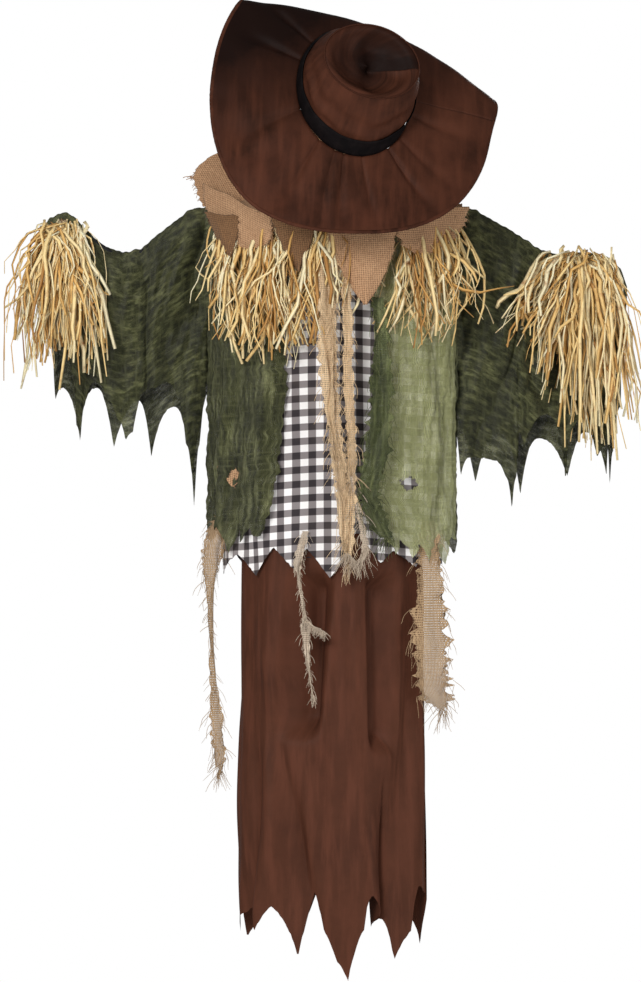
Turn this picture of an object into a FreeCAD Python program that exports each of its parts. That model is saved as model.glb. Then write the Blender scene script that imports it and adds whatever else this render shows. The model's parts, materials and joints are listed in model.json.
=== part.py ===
import FreeCAD, Part
import math
import os

# Hanging scarecrow with a motor-driven bowing head and two poseable arms.
# Millimetres. +Z is up, the figure faces -Y, and left and right are as seen from the front.
# The origin is the centre of the hanger hole, and the part hangs from it.

V = FreeCAD.Vector
X_AXIS = V(1, 0, 0)
Y_AXIS = V(0, 1, 0)
Z_AXIS = V(0, 0, 1)

# ---- Driving dimensions -------------------------------------------------------------------

TORSO_Y = -40.0            # depth of the figure's middle plane, in front of the hanger plate
GOWN_HALF = (142.0, 72.0)  # half width and half depth of each cloth layer
SHIRT_HALF = (174.0, 76.0)
JACKET_HALF = (186.0, 88.0)
STRAW_HALF = (192.0, 100.0)
COLLAR_HALF = (206.0, 122.0)
CLOTH = 1.5                # thickness of a cloth panel

GOWN_PANELS = 14

WAIST_Z = -597.0
SPINE_Y = -55.0
SPINE_R = 11.0
SHOULDER_Z = -75.0         # axis of the shoulder crossbar
SHOULDER_Y = -12.0
SHOULDER_X = 212.0         # arm pivot, either side
CROSSBAR_END_X = 188.0     # where the crossbar meets the root of each shoulder bracket
CROSSBAR_R = 8.0

HANGER_HOLE_R = 5.0
HANGER_THICK = 3.0
HANGER_BACK_Y = HANGER_THICK / 2
HANGER_FRONT_Y = -HANGER_THICK / 2

NECK = V(0, -45, 50)       # centre of the neck shaft
BOW = 66.0                 # degrees that the head is bowed forward at rest
LEAN = 17.0                # degrees that the head leans to the right
GEAR_MODULE = 1.25
SECTOR_TEETH = 54
PINION_TEETH = 18
BACKLASH = 0.3
PRESSURE_ANGLE = math.radians(20)
GEAR_X = (30.0, 36.0)      # the gears' two faces
SECTOR_FIRST, SECTOR_LAST = -2, 11  # teeth kept, counted from straight down towards the back
MOTOR_R = 12.0
RUNNING_FIT = 0.05         # radial clearance of a shaft in its hole

CASE_X = 50.0
CASE_Y = (-88.0, -22.0)
CASE_Z = (-182.0, -52.0)
CASE_WALL = 2.5
CASE_SPLIT_Y = -55.0

HEAD_R = 76.0
HEAD_HALF_HEIGHT = 90.0
HEAD_OFFSET = V(-12, 4, 0)  # the head sits a little off the post, in its upright frame
HEAD_CENTRE = 150.0        # along the head's axis, from the neck shaft
HEAD_WALL = 3.0
EYE_X = 28.0
EYE_HEIGHT = 152.0
EYE_R = 9.0

CROWN_BASE = V(-23.5, 6, 190)  # centre of the crown's foot, in the head's upright frame
CROWN_FOOT = (90.0, 108.0)     # half width and half length of the crown at its foot
CROWN_TOP = (78.0, 62.0)
CROWN_HEIGHT = 94.0
BRIM_WIDTH = 126.0
BRIM_DROOP = 12.0              # degrees that the brim falls away all round
FOLD_DROOP = 78.0              # degrees that it falls behind the fold at the back
FOLD_DIRECTION = V(0.25, 0.968, 0)
FOLD_DISTANCE = 104.0          # from the crown's centre to the fold line
HAT_FELT = 2.0

PIVOT_R = 4.0              # shoulder pivot bolt
ROD_R = 5.0                # arm rod

nodes = {}


# ---- Small makers -------------------------------------------------------------------------

def node(name, *solids):
    """Keep one named sub-part: a single solid, or a group of separate ones."""
    nodes[name] = solids[0] if len(solids) == 1 else Part.makeCompound(list(solids))


def box(x, y, z):
    """A block between two values on each axis."""
    return Part.makeBox(x[1] - x[0], y[1] - y[0], z[1] - z[0], V(x[0], y[0], z[0]))


def rod(start, end, radius):
    """A round bar from one point to another."""
    run = end - start
    return Part.makeCylinder(radius, run.Length, start, run)


def tube(start, end, outer, inner):
    return rod(start, end, outer).cut(rod(start, end, inner))


def prism(outline, push):
    """A flat outline pushed along a vector."""
    return Part.Face(Part.makePolygon(outline + outline[:1])).extrude(push)


def screw(head_at, direction, length, radius=1.5):
    """A round-headed screw. head_at is the seat under the head, and the thread runs along direction."""
    along = V(direction).normalize()
    shank = rod(head_at, head_at + along * length, radius)
    head = rod(head_at, head_at - along * radius * 1.2, radius * 1.9)
    return shank.fuse(head).removeSplitter()


def solid_ellipsoid(radius, half_height):
    """A turned egg about Z, centred on the origin and taller than it is wide."""
    ellipse = Part.Ellipse(V(0, 0, half_height), V(radius, 0, 0), V(0, 0, 0))
    arc = Part.ArcOfEllipse(ellipse, -math.pi, 0).toShape()
    outline = Part.Wire([arc, Part.makeLine(V(0, 0, half_height), V(0, 0, -half_height))])
    return Part.Face(outline).revolve(V(0, 0, 0), Z_AXIS, 360)


def in_head(shape):
    """Take a shape from the head's upright frame, about the neck shaft, to its bowed place."""
    placed = shape.copy()
    placed.rotate(V(0, 0, 0), Y_AXIS, LEAN)
    placed.rotate(V(0, 0, 0), X_AXIS, BOW)
    placed.translate(NECK)
    return placed


def bowed(shape):
    """As in_head, with no lean: for the yoke, which turns squarely about the shaft."""
    placed = shape.copy()
    placed.rotate(V(0, 0, 0), X_AXIS, BOW)
    placed.translate(NECK)
    return placed


# ---- Cloth panels -------------------------------------------------------------------------

def ring_point(half, angle, z=0.0):
    """A point on a layer's oval. Angle 180 is left, 270 is the front and 360 is right."""
    turn = math.radians(angle)
    return V(half[0] * math.cos(turn), TORSO_Y + half[1] * math.sin(turn), z)


def angle_at(half, x):
    """The front angle where a layer's oval passes a given x."""
    return 360 - math.degrees(math.acos(x / half[0]))


def raised(point, z):
    return V(point.x, point.y, z)


def panel(left, right, top, valley, tip, inward):
    """One strip of cloth: level or sloping top, and a pointed lower end between two valleys."""
    middle = (left + right) * 0.5
    outline = [raised(left, top[0]), raised(right, top[1]),
               raised(right, valley[1]), raised(middle, tip), raised(left, valley[0])]
    along = raised(right, 0) - raised(left, 0)
    normal = along.cross(Z_AXIS).normalize()
    if normal.dot(inward) < 0:
        normal = normal * -1
    return prism(outline, normal * CLOTH)


def ring_panels(half, angles, top, valley, tips):
    """Panels round an oval, one for each tip. top is a value, or a function of the point's x."""
    points = [ring_point(half, angle) for angle in angles]
    heights = [top(point.x) if callable(top) else top for point in points]
    centre = V(0, TORSO_Y, 0)
    panels = []
    for i, tip in enumerate(tips):
        inward = centre - points[i]
        panels.append(panel(points[i], points[i + 1], (heights[i], heights[i + 1]),
                            (valley, valley), tip, inward))
    return panels


def evenly(first, last, count):
    return [first + (last - first) * i / count for i in range(count + 1)]


# ---- Frame --------------------------------------------------------------------------------

def make_spine():
    wall, below_hoop, cap, plug = 2.0, 43.0, 4.0, 14.0
    top = V(0, SPINE_Y, CASE_Z[0])
    foot = V(0, SPINE_Y, WAIST_Z - below_hoop)
    node("spine_tube", tube(top, foot, SPINE_R, SPINE_R - wall))
    stopper = rod(foot, foot - V(0, 0, cap), SPINE_R)
    stopper = stopper.fuse(rod(foot, foot + V(0, 0, plug), SPINE_R - wall))
    node("spine_end_cap", stopper.removeSplitter())


def make_waist_hoop():
    """Wire hoop just inside the flat panels of the gown, on a hub with two spokes."""
    wire_r, gap = 3.0, 0.5
    flatness = math.cos(math.pi / GOWN_PANELS)
    half = tuple(length * flatness - CLOTH - wire_r - gap for length in GOWN_HALF)
    centre = V(0, TORSO_Y, WAIST_Z)
    oval = Part.Wire(Part.Ellipse(centre + V(half[0], 0, 0), centre + V(0, half[1], 0), centre).toShape())
    section = Part.Wire(Part.makeCircle(wire_r, centre + V(half[0], 0, 0), Y_AXIS))
    hoop = oval.makePipeShell([section], True, True)
    node("waist_hoop", hoop)
    hub_centre = V(0, SPINE_Y, WAIST_Z)
    hub_wall, hub_half, spoke_r = 5.0, 9.0, 3.5
    hub = rod(hub_centre - V(0, 0, hub_half), hub_centre + V(0, 0, hub_half), SPINE_R + hub_wall)
    reach = half[0] * math.sqrt(1 - ((SPINE_Y - TORSO_Y) / half[1]) ** 2)
    hub = hub.fuse(rod(hub_centre - V(reach, 0, 0), hub_centre + V(reach, 0, 0), spoke_r))
    hub = hub.cut(rod(hub_centre - V(0, 0, 2 * hub_half), hub_centre + V(0, 0, 2 * hub_half), SPINE_R))
    node("hoop_hub", hub.cut(hoop).removeSplitter())


def make_crossbar():
    left = V(-CROSSBAR_END_X, SHOULDER_Y, SHOULDER_Z)
    right = V(CROSSBAR_END_X, SHOULDER_Y, SHOULDER_Z)
    node("shoulder_crossbar", tube(left, right, CROSSBAR_R, CROSSBAR_R - 1.5))


HANGER_BOLTS = [(x, z) for x in (-12.0, 12.0) for z in (SHOULDER_Z - 16, SHOULDER_Z + 16)]
HANGER_BOLT_HOLE_R = 2.2


def make_hanger():
    """Flat plate with the hanging hole, and the saddle that clamps the crossbar to it."""
    half_width, foot_z = 20.0, -126.0
    plate = box((-half_width, half_width), (HANGER_FRONT_Y, HANGER_BACK_Y), (foot_z, -6))
    nose = Part.makeCylinder(half_width * 0.7, HANGER_THICK, V(0, HANGER_FRONT_Y, 0), Y_AXIS)
    plate = plate.fuse(nose).fuse(box((-14, 14), (HANGER_FRONT_Y, HANGER_BACK_Y), (-8, 0)))
    plate = plate.cut(Part.makeCylinder(HANGER_HOLE_R, 20, V(0, -10, 0), Y_AXIS))

    saddle = box((-18, 18), (SHOULDER_Y - CROSSBAR_R - 1.5, HANGER_FRONT_Y - 0.3),
                 (SHOULDER_Z - 24, SHOULDER_Z + 24))
    bar = rod(V(-30, SHOULDER_Y, SHOULDER_Z), V(30, SHOULDER_Y, SHOULDER_Z), CROSSBAR_R)
    slot = box((-30, 30), (SHOULDER_Y, 0), (SHOULDER_Z - CROSSBAR_R, SHOULDER_Z + CROSSBAR_R))
    saddle = saddle.cut(bar).cut(slot)

    bolts = []
    for x, z in HANGER_BOLTS:
        hole = rod(V(x, -60, z), V(x, 10, z), HANGER_BOLT_HOLE_R)
        plate = plate.cut(hole)
        saddle = saddle.cut(hole)
        bolts.append(screw(V(x, HANGER_BACK_Y, z), V(0, -1, 0), 27, 2.0))
    node("hanger_plate", plate.removeSplitter())
    node("crossbar_saddle", saddle)
    node("hanger_bolts", *bolts)


def make_shoulder_bracket(side, name):
    """A fork on the crossbar's end whose two cheeks hold the vertical pivot bolt."""
    pivot = V(side * SHOULDER_X, SHOULDER_Y, SHOULDER_Z)
    cheek_gap, cheek, half = 6.0, 3.0, 10.0
    root_x = side * CROSSBAR_END_X
    fork = None
    for low in (-cheek_gap - cheek, cheek_gap):
        z = (SHOULDER_Z + low, SHOULDER_Z + low + cheek)
        x = sorted((root_x, pivot.x))
        arm = box(x, (SHOULDER_Y - half, SHOULDER_Y + half), z)
        end = Part.makeCylinder(half, cheek, V(pivot.x, pivot.y, z[0]))
        arm = arm.fuse(end)
        fork = arm if fork is None else fork.fuse(arm)
    web = box(sorted((root_x, root_x + side * 4)), (SHOULDER_Y - half, SHOULDER_Y + half),
              (SHOULDER_Z - cheek_gap, SHOULDER_Z + cheek_gap))
    plug = rod(V(root_x, SHOULDER_Y, SHOULDER_Z), V(root_x - side * 22, SHOULDER_Y, SHOULDER_Z),
               CROSSBAR_R - 1.5)
    fork = fork.fuse(web).fuse(plug)
    fork = fork.cut(rod(pivot - V(0, 0, 20), pivot + V(0, 0, 20), PIVOT_R))
    node(name + "_shoulder_bracket", fork.removeSplitter())

    top = SHOULDER_Z + cheek_gap + cheek
    foot = SHOULDER_Z - cheek_gap - cheek
    bolt = rod(V(pivot.x, pivot.y, foot - 9), V(pivot.x, pivot.y, top), PIVOT_R)
    bolt = bolt.fuse(rod(V(pivot.x, pivot.y, top), V(pivot.x, pivot.y, top + 4), PIVOT_R * 1.7))
    nut = rod(V(pivot.x, pivot.y, foot - 7), V(pivot.x, pivot.y, foot), 7.5)
    wings = box((pivot.x - 15, pivot.x + 15), (pivot.y - 1.5, pivot.y + 1.5), (foot - 11, foot - 1))
    nut = nut.fuse(wings).cut(rod(V(pivot.x, pivot.y, foot - 20), V(pivot.x, pivot.y, top), PIVOT_R))
    node(name + "_pivot_bolt", bolt.removeSplitter(), nut.removeSplitter())


# ---- Mechanism case -----------------------------------------------------------------------

BATTERY_R = 7.2
BATTERY_LENGTH = 50.0
BATTERY_PITCH = 15.0
BATTERY_Z = CASE_Z[0] + 8 + BATTERY_R
BATTERY_Y = CASE_Y[1] - 5.3 - BATTERY_R  # clear of the frame round the door
DOOR_X = 32.0
DOOR_Z = (CASE_Z[0] + 2, CASE_Z[0] + 52)
DOOR_THICK = 2.0
SWITCH_AT = V(CASE_X, -40, -80)
BUTTON_AT = V(CASE_X, -40, -108)
SPEAKER_AT = V(0, CASE_Y[0], -140)
SENSOR_AT = V(0, CASE_Y[0], -82)
BRACKET_SCREWS = [(x, NECK.y + dy) for x in (-18.0, 18.0) for dy in (-13.5, 13.5)]
BRACKET_SCREW_R = 1.2
SENSOR_HOLE_R = 4.0
BUTTON_HOLE_R = 5.2


def case_block():
    outer = box((-CASE_X, CASE_X), CASE_Y, CASE_Z)
    return outer.makeFillet(5, [edge for edge in outer.Edges if abs(edge.tangentAt(0).z) > 0.9])


def case_shell():
    """Thin-walled box with the spine's socket under it and pilot holes for the neck bracket on top."""
    inner = box((-CASE_X + CASE_WALL, CASE_X - CASE_WALL),
                (CASE_Y[0] + CASE_WALL, CASE_Y[1] - CASE_WALL),
                (CASE_Z[0] + CASE_WALL, CASE_Z[1] - CASE_WALL))
    socket_wall, socket_depth = 4.0, 22.0
    socket_top = V(0, SPINE_Y, CASE_Z[0])
    socket_foot = socket_top - V(0, 0, socket_depth)
    socket = tube(socket_foot, socket_top, SPINE_R + socket_wall, SPINE_R + RUNNING_FIT)
    shell = case_block().cut(inner).fuse(socket)
    for x, y in BRACKET_SCREWS:
        shell = shell.cut(rod(V(x, y, CASE_Z[1] - 5), V(x, y, CASE_Z[1] + 1), BRACKET_SCREW_R))
    return shell


def with_grille(front):
    """Rings of small round holes for the speaker, and one hole for the sound sensor."""
    rings, pitch, hole_r, depth = 4, 4.5, 1.3, 6.0
    for ring in range(1, rings + 1):
        for i in range(6 * ring):
            turn = 2 * math.pi * i / (6 * ring)
            at = SPEAKER_AT + V(pitch * ring * math.cos(turn), -1, pitch * ring * math.sin(turn))
            front = front.cut(Part.makeCylinder(hole_r, depth, at, Y_AXIS))
    return front.cut(Part.makeCylinder(SENSOR_HOLE_R, depth, SENSOR_AT - V(0, 1, 0), Y_AXIS))


def with_door_frame(back):
    """The battery bay's mouth, in a rebate between two rails that hold the sliding door."""
    gap, lip, rail, rail_depth, frame_depth = 0.3, 4.0, 3.5, 3.0, 5.0
    rear = CASE_Y[1]
    seat = rear - DOOR_THICK - gap
    rebate = box((-DOOR_X - gap, DOOR_X + gap), (seat, rear + 1), (CASE_Z[0] - 1, DOOR_Z[1] + gap))
    mouth = box((-DOOR_X + lip, DOOR_X - lip), (rear - frame_depth - 1, rear + 1),
                (DOOR_Z[0] + lip, DOOR_Z[1] - lip))
    frame = box((-DOOR_X - lip, DOOR_X + lip), (rear - frame_depth, seat), (CASE_Z[0] + 1, DOOR_Z[1] + lip))
    back = back.cut(rebate).cut(mouth).fuse(frame.cut(mouth))
    for x in (-DOOR_X - gap - rail, DOOR_X + gap):
        back = back.fuse(box((x, x + rail), (rear - rail_depth, rear), (CASE_Z[0], DOOR_Z[1])))
    return back


def with_pads(back):
    """Four drilled pads that carry the case on the crossbar's saddle."""
    half, seat_y = 6.0, SHOULDER_Y - CROSSBAR_R - 1.8
    for x, z in HANGER_BOLTS:
        pad = box((x - half, x + half), (CASE_Y[1] - half, seat_y), (z - half, z + half))
        back = back.fuse(pad).cut(rod(V(x, -60, z), V(x, 0, z), HANGER_BOLT_HOLE_R))
    return back


def make_case():
    """Two halves that meet at the split, screwed together through four posts."""
    split_gap, screw_r, post_r = 0.1, 1.6, 4.0
    shell = case_shell()
    front = shell.common(box((-80, 80), (-120, CASE_SPLIT_Y - split_gap), (-220, 0)))
    back = shell.common(box((-80, 80), (CASE_SPLIT_Y + split_gap, 0), (-220, 0)))
    front = with_grille(front)
    back = with_pads(with_door_frame(back))
    back = back.cut(box((CASE_X - 5, CASE_X + 5), (SWITCH_AT.y - 2.5, SWITCH_AT.y + 2.5),
                        (SWITCH_AT.z - 5, SWITCH_AT.z + 5)))
    back = back.cut(Part.makeCylinder(BUTTON_HOLE_R, 10, BUTTON_AT - V(6, 0, 0), X_AXIS))
    screws = []
    for x in (-41.0, 41.0):
        for z in (CASE_Z[0] + 9, CASE_Z[1] - 9):
            front_post = tube(V(x, CASE_Y[0] + 1, z), V(x, CASE_SPLIT_Y - split_gap, z), post_r, screw_r)
            back_post = tube(V(x, CASE_SPLIT_Y + split_gap, z), V(x, CASE_Y[1] - 1, z), post_r, screw_r)
            front = front.fuse(front_post).cut(rod(V(x, -120, z), V(x, -40, z), screw_r))
            back = back.fuse(back_post)
            screws.append(screw(V(x, CASE_Y[0], z), Y_AXIS, 52, screw_r))
    node("case_front", front.removeSplitter())
    node("case_back", back.removeSplitter())
    node("case_screws", *screws)


def make_battery_door():
    ribs, pitch, groove, groove_depth, half_width = 4, 4.0, 2.0, 0.6, 12.0
    door = box((-DOOR_X, DOOR_X), (CASE_Y[1] - DOOR_THICK, CASE_Y[1]), DOOR_Z)
    for i in range(ribs):
        z = DOOR_Z[0] + 8 + pitch * i
        cut = box((-half_width, half_width), (CASE_Y[1] - groove_depth, CASE_Y[1] + 1), (z, z + groove))
        door = door.cut(cut)
    node("battery_door", door)


def make_batteries():
    """Three cells one above another, each with its raised end, between pairs of contact plates."""
    tip, tip_r, plate, half = 1.5, 2.6, 1.0, 5.0
    end = BATTERY_LENGTH / 2
    cells = []
    contacts = []
    for i in range(3):
        z = BATTERY_Z + BATTERY_PITCH * i
        can = rod(V(-end, BATTERY_Y, z), V(end - tip, BATTERY_Y, z), BATTERY_R)
        nub = rod(V(0, BATTERY_Y, z), V(end, BATTERY_Y, z), tip_r)
        cells.append(can.fuse(nub).removeSplitter())
        for x in (-end - plate - 0.2, end + 0.2):
            contacts.append(box((x, x + plate), (BATTERY_Y - half, BATTERY_Y + half), (z - half, z + half)))
    node("battery_cells", *cells)
    node("battery_contacts", *contacts)


def make_electrics():
    """Speaker, board, sensor, switch and button, each just clear of the case's walls."""
    cone_r, magnet_r, cone_depth = 25.0, 12.0, 12.0
    face = V(0, CASE_Y[0] + CASE_WALL + 0.3, SPEAKER_AT.z)
    magnet = Part.makeCylinder(magnet_r - 1, cone_depth / 2, face + V(0, cone_depth, 0), Y_AXIS)
    speaker = Part.makeCone(cone_r, magnet_r, cone_depth, face, Y_AXIS).fuse(magnet)
    node("speaker", speaker.removeSplitter())

    board = box((-34, 34), (-62, -60.4), (-172, -110))
    chip = box((-14, 4), (-60.2, -57.5), (-150, -132))
    capacitor = box((12, 24), (-60.2, -56), (-166, -154))
    node("circuit_board", board, chip, capacitor)
    node("sound_sensor", Part.makeCylinder(SENSOR_HOLE_R - 0.2, 9, SENSOR_AT + V(0, 0.5, 0), Y_AXIS))

    slider = box((CASE_X - CASE_WALL - 3, CASE_X + 2.5), (SWITCH_AT.y - 2.2, SWITCH_AT.y + 2.2),
                 (SWITCH_AT.z - 4.7, SWITCH_AT.z - 0.7))
    node("power_switch", slider)
    button = Part.makeCylinder(BUTTON_HOLE_R - 0.3, 6, BUTTON_AT - V(3, 0, 0), X_AXIS)
    node("try_me_button", button.makeFillet(1, [button.Edges[0]]))


# ---- Neck drive ---------------------------------------------------------------------------

CENTRE_DISTANCE = GEAR_MODULE * (SECTOR_TEETH + PINION_TEETH) / 2
MOTOR_AXIS = V(0, NECK.y, NECK.z - CENTRE_DISTANCE)
EAR_X = 26.0
EAR_THICK = 2.5
SHAFT_R = 4.0
BUSH_R = 6.5
YOKE_X = 20.0
YOKE_TOP = 45.0
POST_R = 8.0
POST_TOP = 84.0
BRACKET_BASE_Z = CASE_Z[1]


def involute(angle):
    return math.tan(angle) - angle


def gear_outline(teeth, first, count, start_angle):
    """Outer points of part of a spur gear, in the plane of Y and Z, about its own centre.
    start_angle is where the middle of tooth number 0 points."""
    pitch_r = GEAR_MODULE * teeth / 2
    base_r = pitch_r * math.cos(PRESSURE_ANGLE)
    root_r = pitch_r - 1.25 * GEAR_MODULE
    tip_r = pitch_r + 0.95 * GEAR_MODULE
    half_tooth = math.pi / (2 * teeth) - BACKLASH / (4 * pitch_r)
    flank_steps = 5
    low_r = max(base_r, root_r)
    flank = []
    for i in range(flank_steps + 1):
        r = low_r + (tip_r - low_r) * i / flank_steps
        flank.append((r, half_tooth + involute(PRESSURE_ANGLE) - involute(math.acos(min(1.0, base_r / r)))))
    if root_r < low_r:
        flank.insert(0, (root_r, flank[0][1]))
    points = []
    for tooth in range(first, first + count):
        middle = start_angle + 2 * math.pi * tooth / teeth
        for r, half in flank:
            points.append(V(0, r * math.cos(middle - half), r * math.sin(middle - half)))
        for r, half in reversed(flank):
            points.append(V(0, r * math.cos(middle + half), r * math.sin(middle + half)))
    return points


def make_gears():
    thick = X_AXIS * (GEAR_X[1] - GEAR_X[0])
    down = -math.pi / 2
    rim = gear_outline(SECTOR_TEETH, SECTOR_FIRST, SECTOR_LAST - SECTOR_FIRST + 1, down)
    hub_r = 12.0
    sector = prism(rim + [V(0, 0, 0)], thick)
    sector = sector.fuse(Part.makeCylinder(hub_r, thick.Length, V(0, 0, 0), X_AXIS))
    sector = sector.cut(Part.makeCylinder(SHAFT_R, 40, V(-5, 0, 0), X_AXIS))
    sector.translate(NECK + X_AXIS * GEAR_X[0])
    node("sector_gear", sector.removeSplitter())

    gap_up = math.pi / 2 + math.pi / PINION_TEETH
    pinion = prism(gear_outline(PINION_TEETH, 0, PINION_TEETH, gap_up), thick)
    pinion.translate(MOTOR_AXIS + X_AXIS * GEAR_X[0])
    shaft = rod(MOTOR_AXIS + X_AXIS * 12, MOTOR_AXIS + X_AXIS * (GEAR_X[1] + 1), 2.5)
    node("motor_pinion", pinion.fuse(shaft).removeSplitter())


def make_neck_bracket():
    """U bracket on the case: two ears for the shaft, and a hole for the motor's nose."""
    half_depth = 16.0
    y = (NECK.y - half_depth, NECK.y + half_depth)
    base = box((-EAR_X - EAR_THICK, EAR_X + EAR_THICK), y, (BRACKET_BASE_Z, BRACKET_BASE_Z + 2.5))
    bracket = base
    for x in (-EAR_X - EAR_THICK, EAR_X):
        ear = box((x, x + EAR_THICK), y, (BRACKET_BASE_Z, NECK.z))
        ear = ear.fuse(Part.makeCylinder(half_depth, EAR_THICK, V(x, NECK.y, NECK.z), X_AXIS))
        ear = ear.cut(Part.makeCylinder(BUSH_R, 10, V(x - 3, NECK.y, NECK.z), X_AXIS))
        bracket = bracket.fuse(ear)
    bracket = bracket.cut(Part.makeCylinder(5, 20, V(EAR_X - 5, MOTOR_AXIS.y, MOTOR_AXIS.z), X_AXIS))
    screws = []
    for x, y in BRACKET_SCREWS:
        at = V(x, y, BRACKET_BASE_Z + 2.5)
        bracket = bracket.cut(rod(at + V(0, 0, 5), at - V(0, 0, 5), BRACKET_SCREW_R))
        screws.append(screw(at, V(0, 0, -1), 4.8, BRACKET_SCREW_R))
    node("neck_bracket", bracket.removeSplitter())
    node("bracket_screws", *screws)

    bushes = []
    for x, flange_x in ((-EAR_X - EAR_THICK, -EAR_X), (EAR_X, EAR_X - 1.5)):
        bush = Part.makeCylinder(BUSH_R, EAR_THICK, V(x, NECK.y, NECK.z), X_AXIS)
        bush = bush.fuse(Part.makeCylinder(BUSH_R + 2, 1.5, V(flange_x, NECK.y, NECK.z), X_AXIS))
        bore = Part.makeCylinder(SHAFT_R + RUNNING_FIT, 80, V(-40, NECK.y, NECK.z), X_AXIS)
        bushes.append(bush.cut(bore).removeSplitter())
    node("neck_bushings", *bushes)


def make_motor():
    can = rod(MOTOR_AXIS - X_AXIS * 24, MOTOR_AXIS + X_AXIS * (EAR_X - 0.3), MOTOR_R)
    nose = rod(MOTOR_AXIS + X_AXIS * (EAR_X - 0.3), MOTOR_AXIS + X_AXIS * (EAR_X + 1.5), 4.9)
    bore = rod(MOTOR_AXIS + X_AXIS * 11, MOTOR_AXIS + X_AXIS * 40, 2.5 + RUNNING_FIT)
    node("gear_motor", can.fuse(nose).cut(bore).removeSplitter())


def make_yoke():
    """Stirrup fixed to the neck shaft, with the post that carries the head."""
    arm_thick, half_depth = 3.0, 8.0
    yoke = box((-YOKE_X, YOKE_X), (-half_depth, half_depth), (YOKE_TOP - 3, YOKE_TOP))
    for x in (-YOKE_X, YOKE_X - arm_thick):
        arm = box((x, x + arm_thick), (-half_depth, half_depth), (0, YOKE_TOP))
        arm = arm.fuse(Part.makeCylinder(half_depth, arm_thick, V(x, 0, 0), X_AXIS))
        yoke = yoke.fuse(arm)
    yoke = yoke.cut(Part.makeCylinder(SHAFT_R, 60, V(-30, 0, 0), X_AXIS))
    yoke = bowed(yoke)
    post = in_head(rod(V(0, 0, YOKE_TOP - 3), HEAD_OFFSET + V(0, 0, POST_TOP), POST_R))
    node("neck_yoke", yoke.fuse(post).removeSplitter())
    node("neck_shaft", rod(NECK - X_AXIS * 32, NECK + X_AXIS * (GEAR_X[1] + 3), SHAFT_R))


# ---- Head and hat -------------------------------------------------------------------------

def eye_places():
    depth = math.sqrt(1 - (EYE_X / HEAD_R) ** 2) * HEAD_R
    return [HEAD_OFFSET + V(side * EYE_X, -depth, EYE_HEIGHT) for side in (-1, 1)]


def head_form(radius, half_height):
    """The egg of the head as a solid, in the head's upright frame."""
    egg = solid_ellipsoid(radius, half_height)
    egg.translate(HEAD_OFFSET + V(0, 0, HEAD_CENTRE))
    return egg


def make_head():
    outer = head_form(HEAD_R, HEAD_HALF_HEIGHT)
    inner = head_form(HEAD_R - HEAD_WALL, HEAD_HALF_HEIGHT - HEAD_WALL)
    screw_x, boss_r, hole_r, seat_r, seat_y, boss_foot = 60.0, 5.5, 1.6, 3.4, 20.0, -8.0
    post = rod(V(0, 0, YOKE_TOP - 3), HEAD_OFFSET + V(0, 0, POST_TOP), POST_R)
    collar = rod(HEAD_OFFSET + V(0, 0, 58), HEAD_OFFSET + V(0, 0, 80), POST_R + 6).common(outer)
    shell = outer.cut(inner).fuse(collar)
    screws = []
    for side in (-1, 1):
        foot = HEAD_OFFSET + V(side * screw_x, boss_foot, HEAD_CENTRE)
        seat = HEAD_OFFSET + V(side * screw_x, seat_y, HEAD_CENTRE)
        far = Y_AXIS * 80
        shell = shell.fuse(rod(foot, foot + far, boss_r).common(outer))
        shell = shell.cut(rod(foot, foot + far, hole_r)).cut(rod(seat, seat + far, seat_r))
        screws.append(in_head(screw(seat, V(0, -1, 0), seat_y - boss_foot, hole_r)))
    for at in eye_places():
        shell = shell.cut(Part.makeCylinder(EYE_R + 0.5, 60, at - V(0, 30, 0), Y_AXIS))
    shell = shell.cut(post)
    split = HEAD_OFFSET.y
    front = shell.common(box((-150, 150), (-150, split - 0.1), (40, 260)))
    back = shell.common(box((-150, 150), (split + 0.1, 150), (40, 260)))
    node("head_shell_front", in_head(front.removeSplitter()))
    node("head_shell_back", in_head(back.removeSplitter()))
    node("head_screws", *screws)

    lights = []
    for at in eye_places():
        lens = Part.makeCylinder(EYE_R, 9, at + V(0, 2, 0), Y_AXIS)
        board = Part.makeCylinder(EYE_R - 2, 3, at + V(0, 11, 0), Y_AXIS)
        lights.append(in_head(lens.fuse(board).removeSplitter()))
    node("eye_lights", *lights)


def make_sack_face():
    gap, thick, neck_r = 0.5, 1.6, 26.0
    sack = head_form(HEAD_R + gap + thick, HEAD_HALF_HEIGHT + gap + thick)
    sack = sack.cut(head_form(HEAD_R + gap, HEAD_HALF_HEIGHT + gap))
    sack = sack.cut(rod(HEAD_OFFSET, HEAD_OFFSET + V(0, 0, 90), neck_r))
    for at in eye_places():
        sack = sack.cut(Part.makeCylinder(EYE_R + 4, 60, at - V(0, 40, 0), Y_AXIS))
    node("sack_face", in_head(sack.common(box((-150, 150), (-150, 150), (40, CROWN_BASE.z + 20)))))


def oval_wire(half, centre):
    """An oval in a level plane. half holds its half width and half length."""
    wide = half[0] >= half[1]
    major = V(half[0], 0, 0) if wide else V(0, half[1], 0)
    minor = V(0, half[1], 0) if wide else V(-half[0], 0, 0)
    return Part.Wire(Part.Ellipse(centre + major, centre + minor, centre).toShape())


def oval_cone(foot, top, height, base, grow=0.0):
    """A solid from one oval up to another, grown or shrunk all round."""
    lower = oval_wire((foot[0] + grow, foot[1] + grow), base)
    upper = oval_wire((top[0] + grow, top[1] + grow), base + V(0, 0, height))
    return Part.makeLoft([lower, upper], True, True)


def crown_half(height):
    """Half width and half length of the crown at a height above its foot."""
    share = height / CROWN_HEIGHT
    return tuple(foot + (top - foot) * share for foot, top in zip(CROWN_FOOT, CROWN_TOP))


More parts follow.
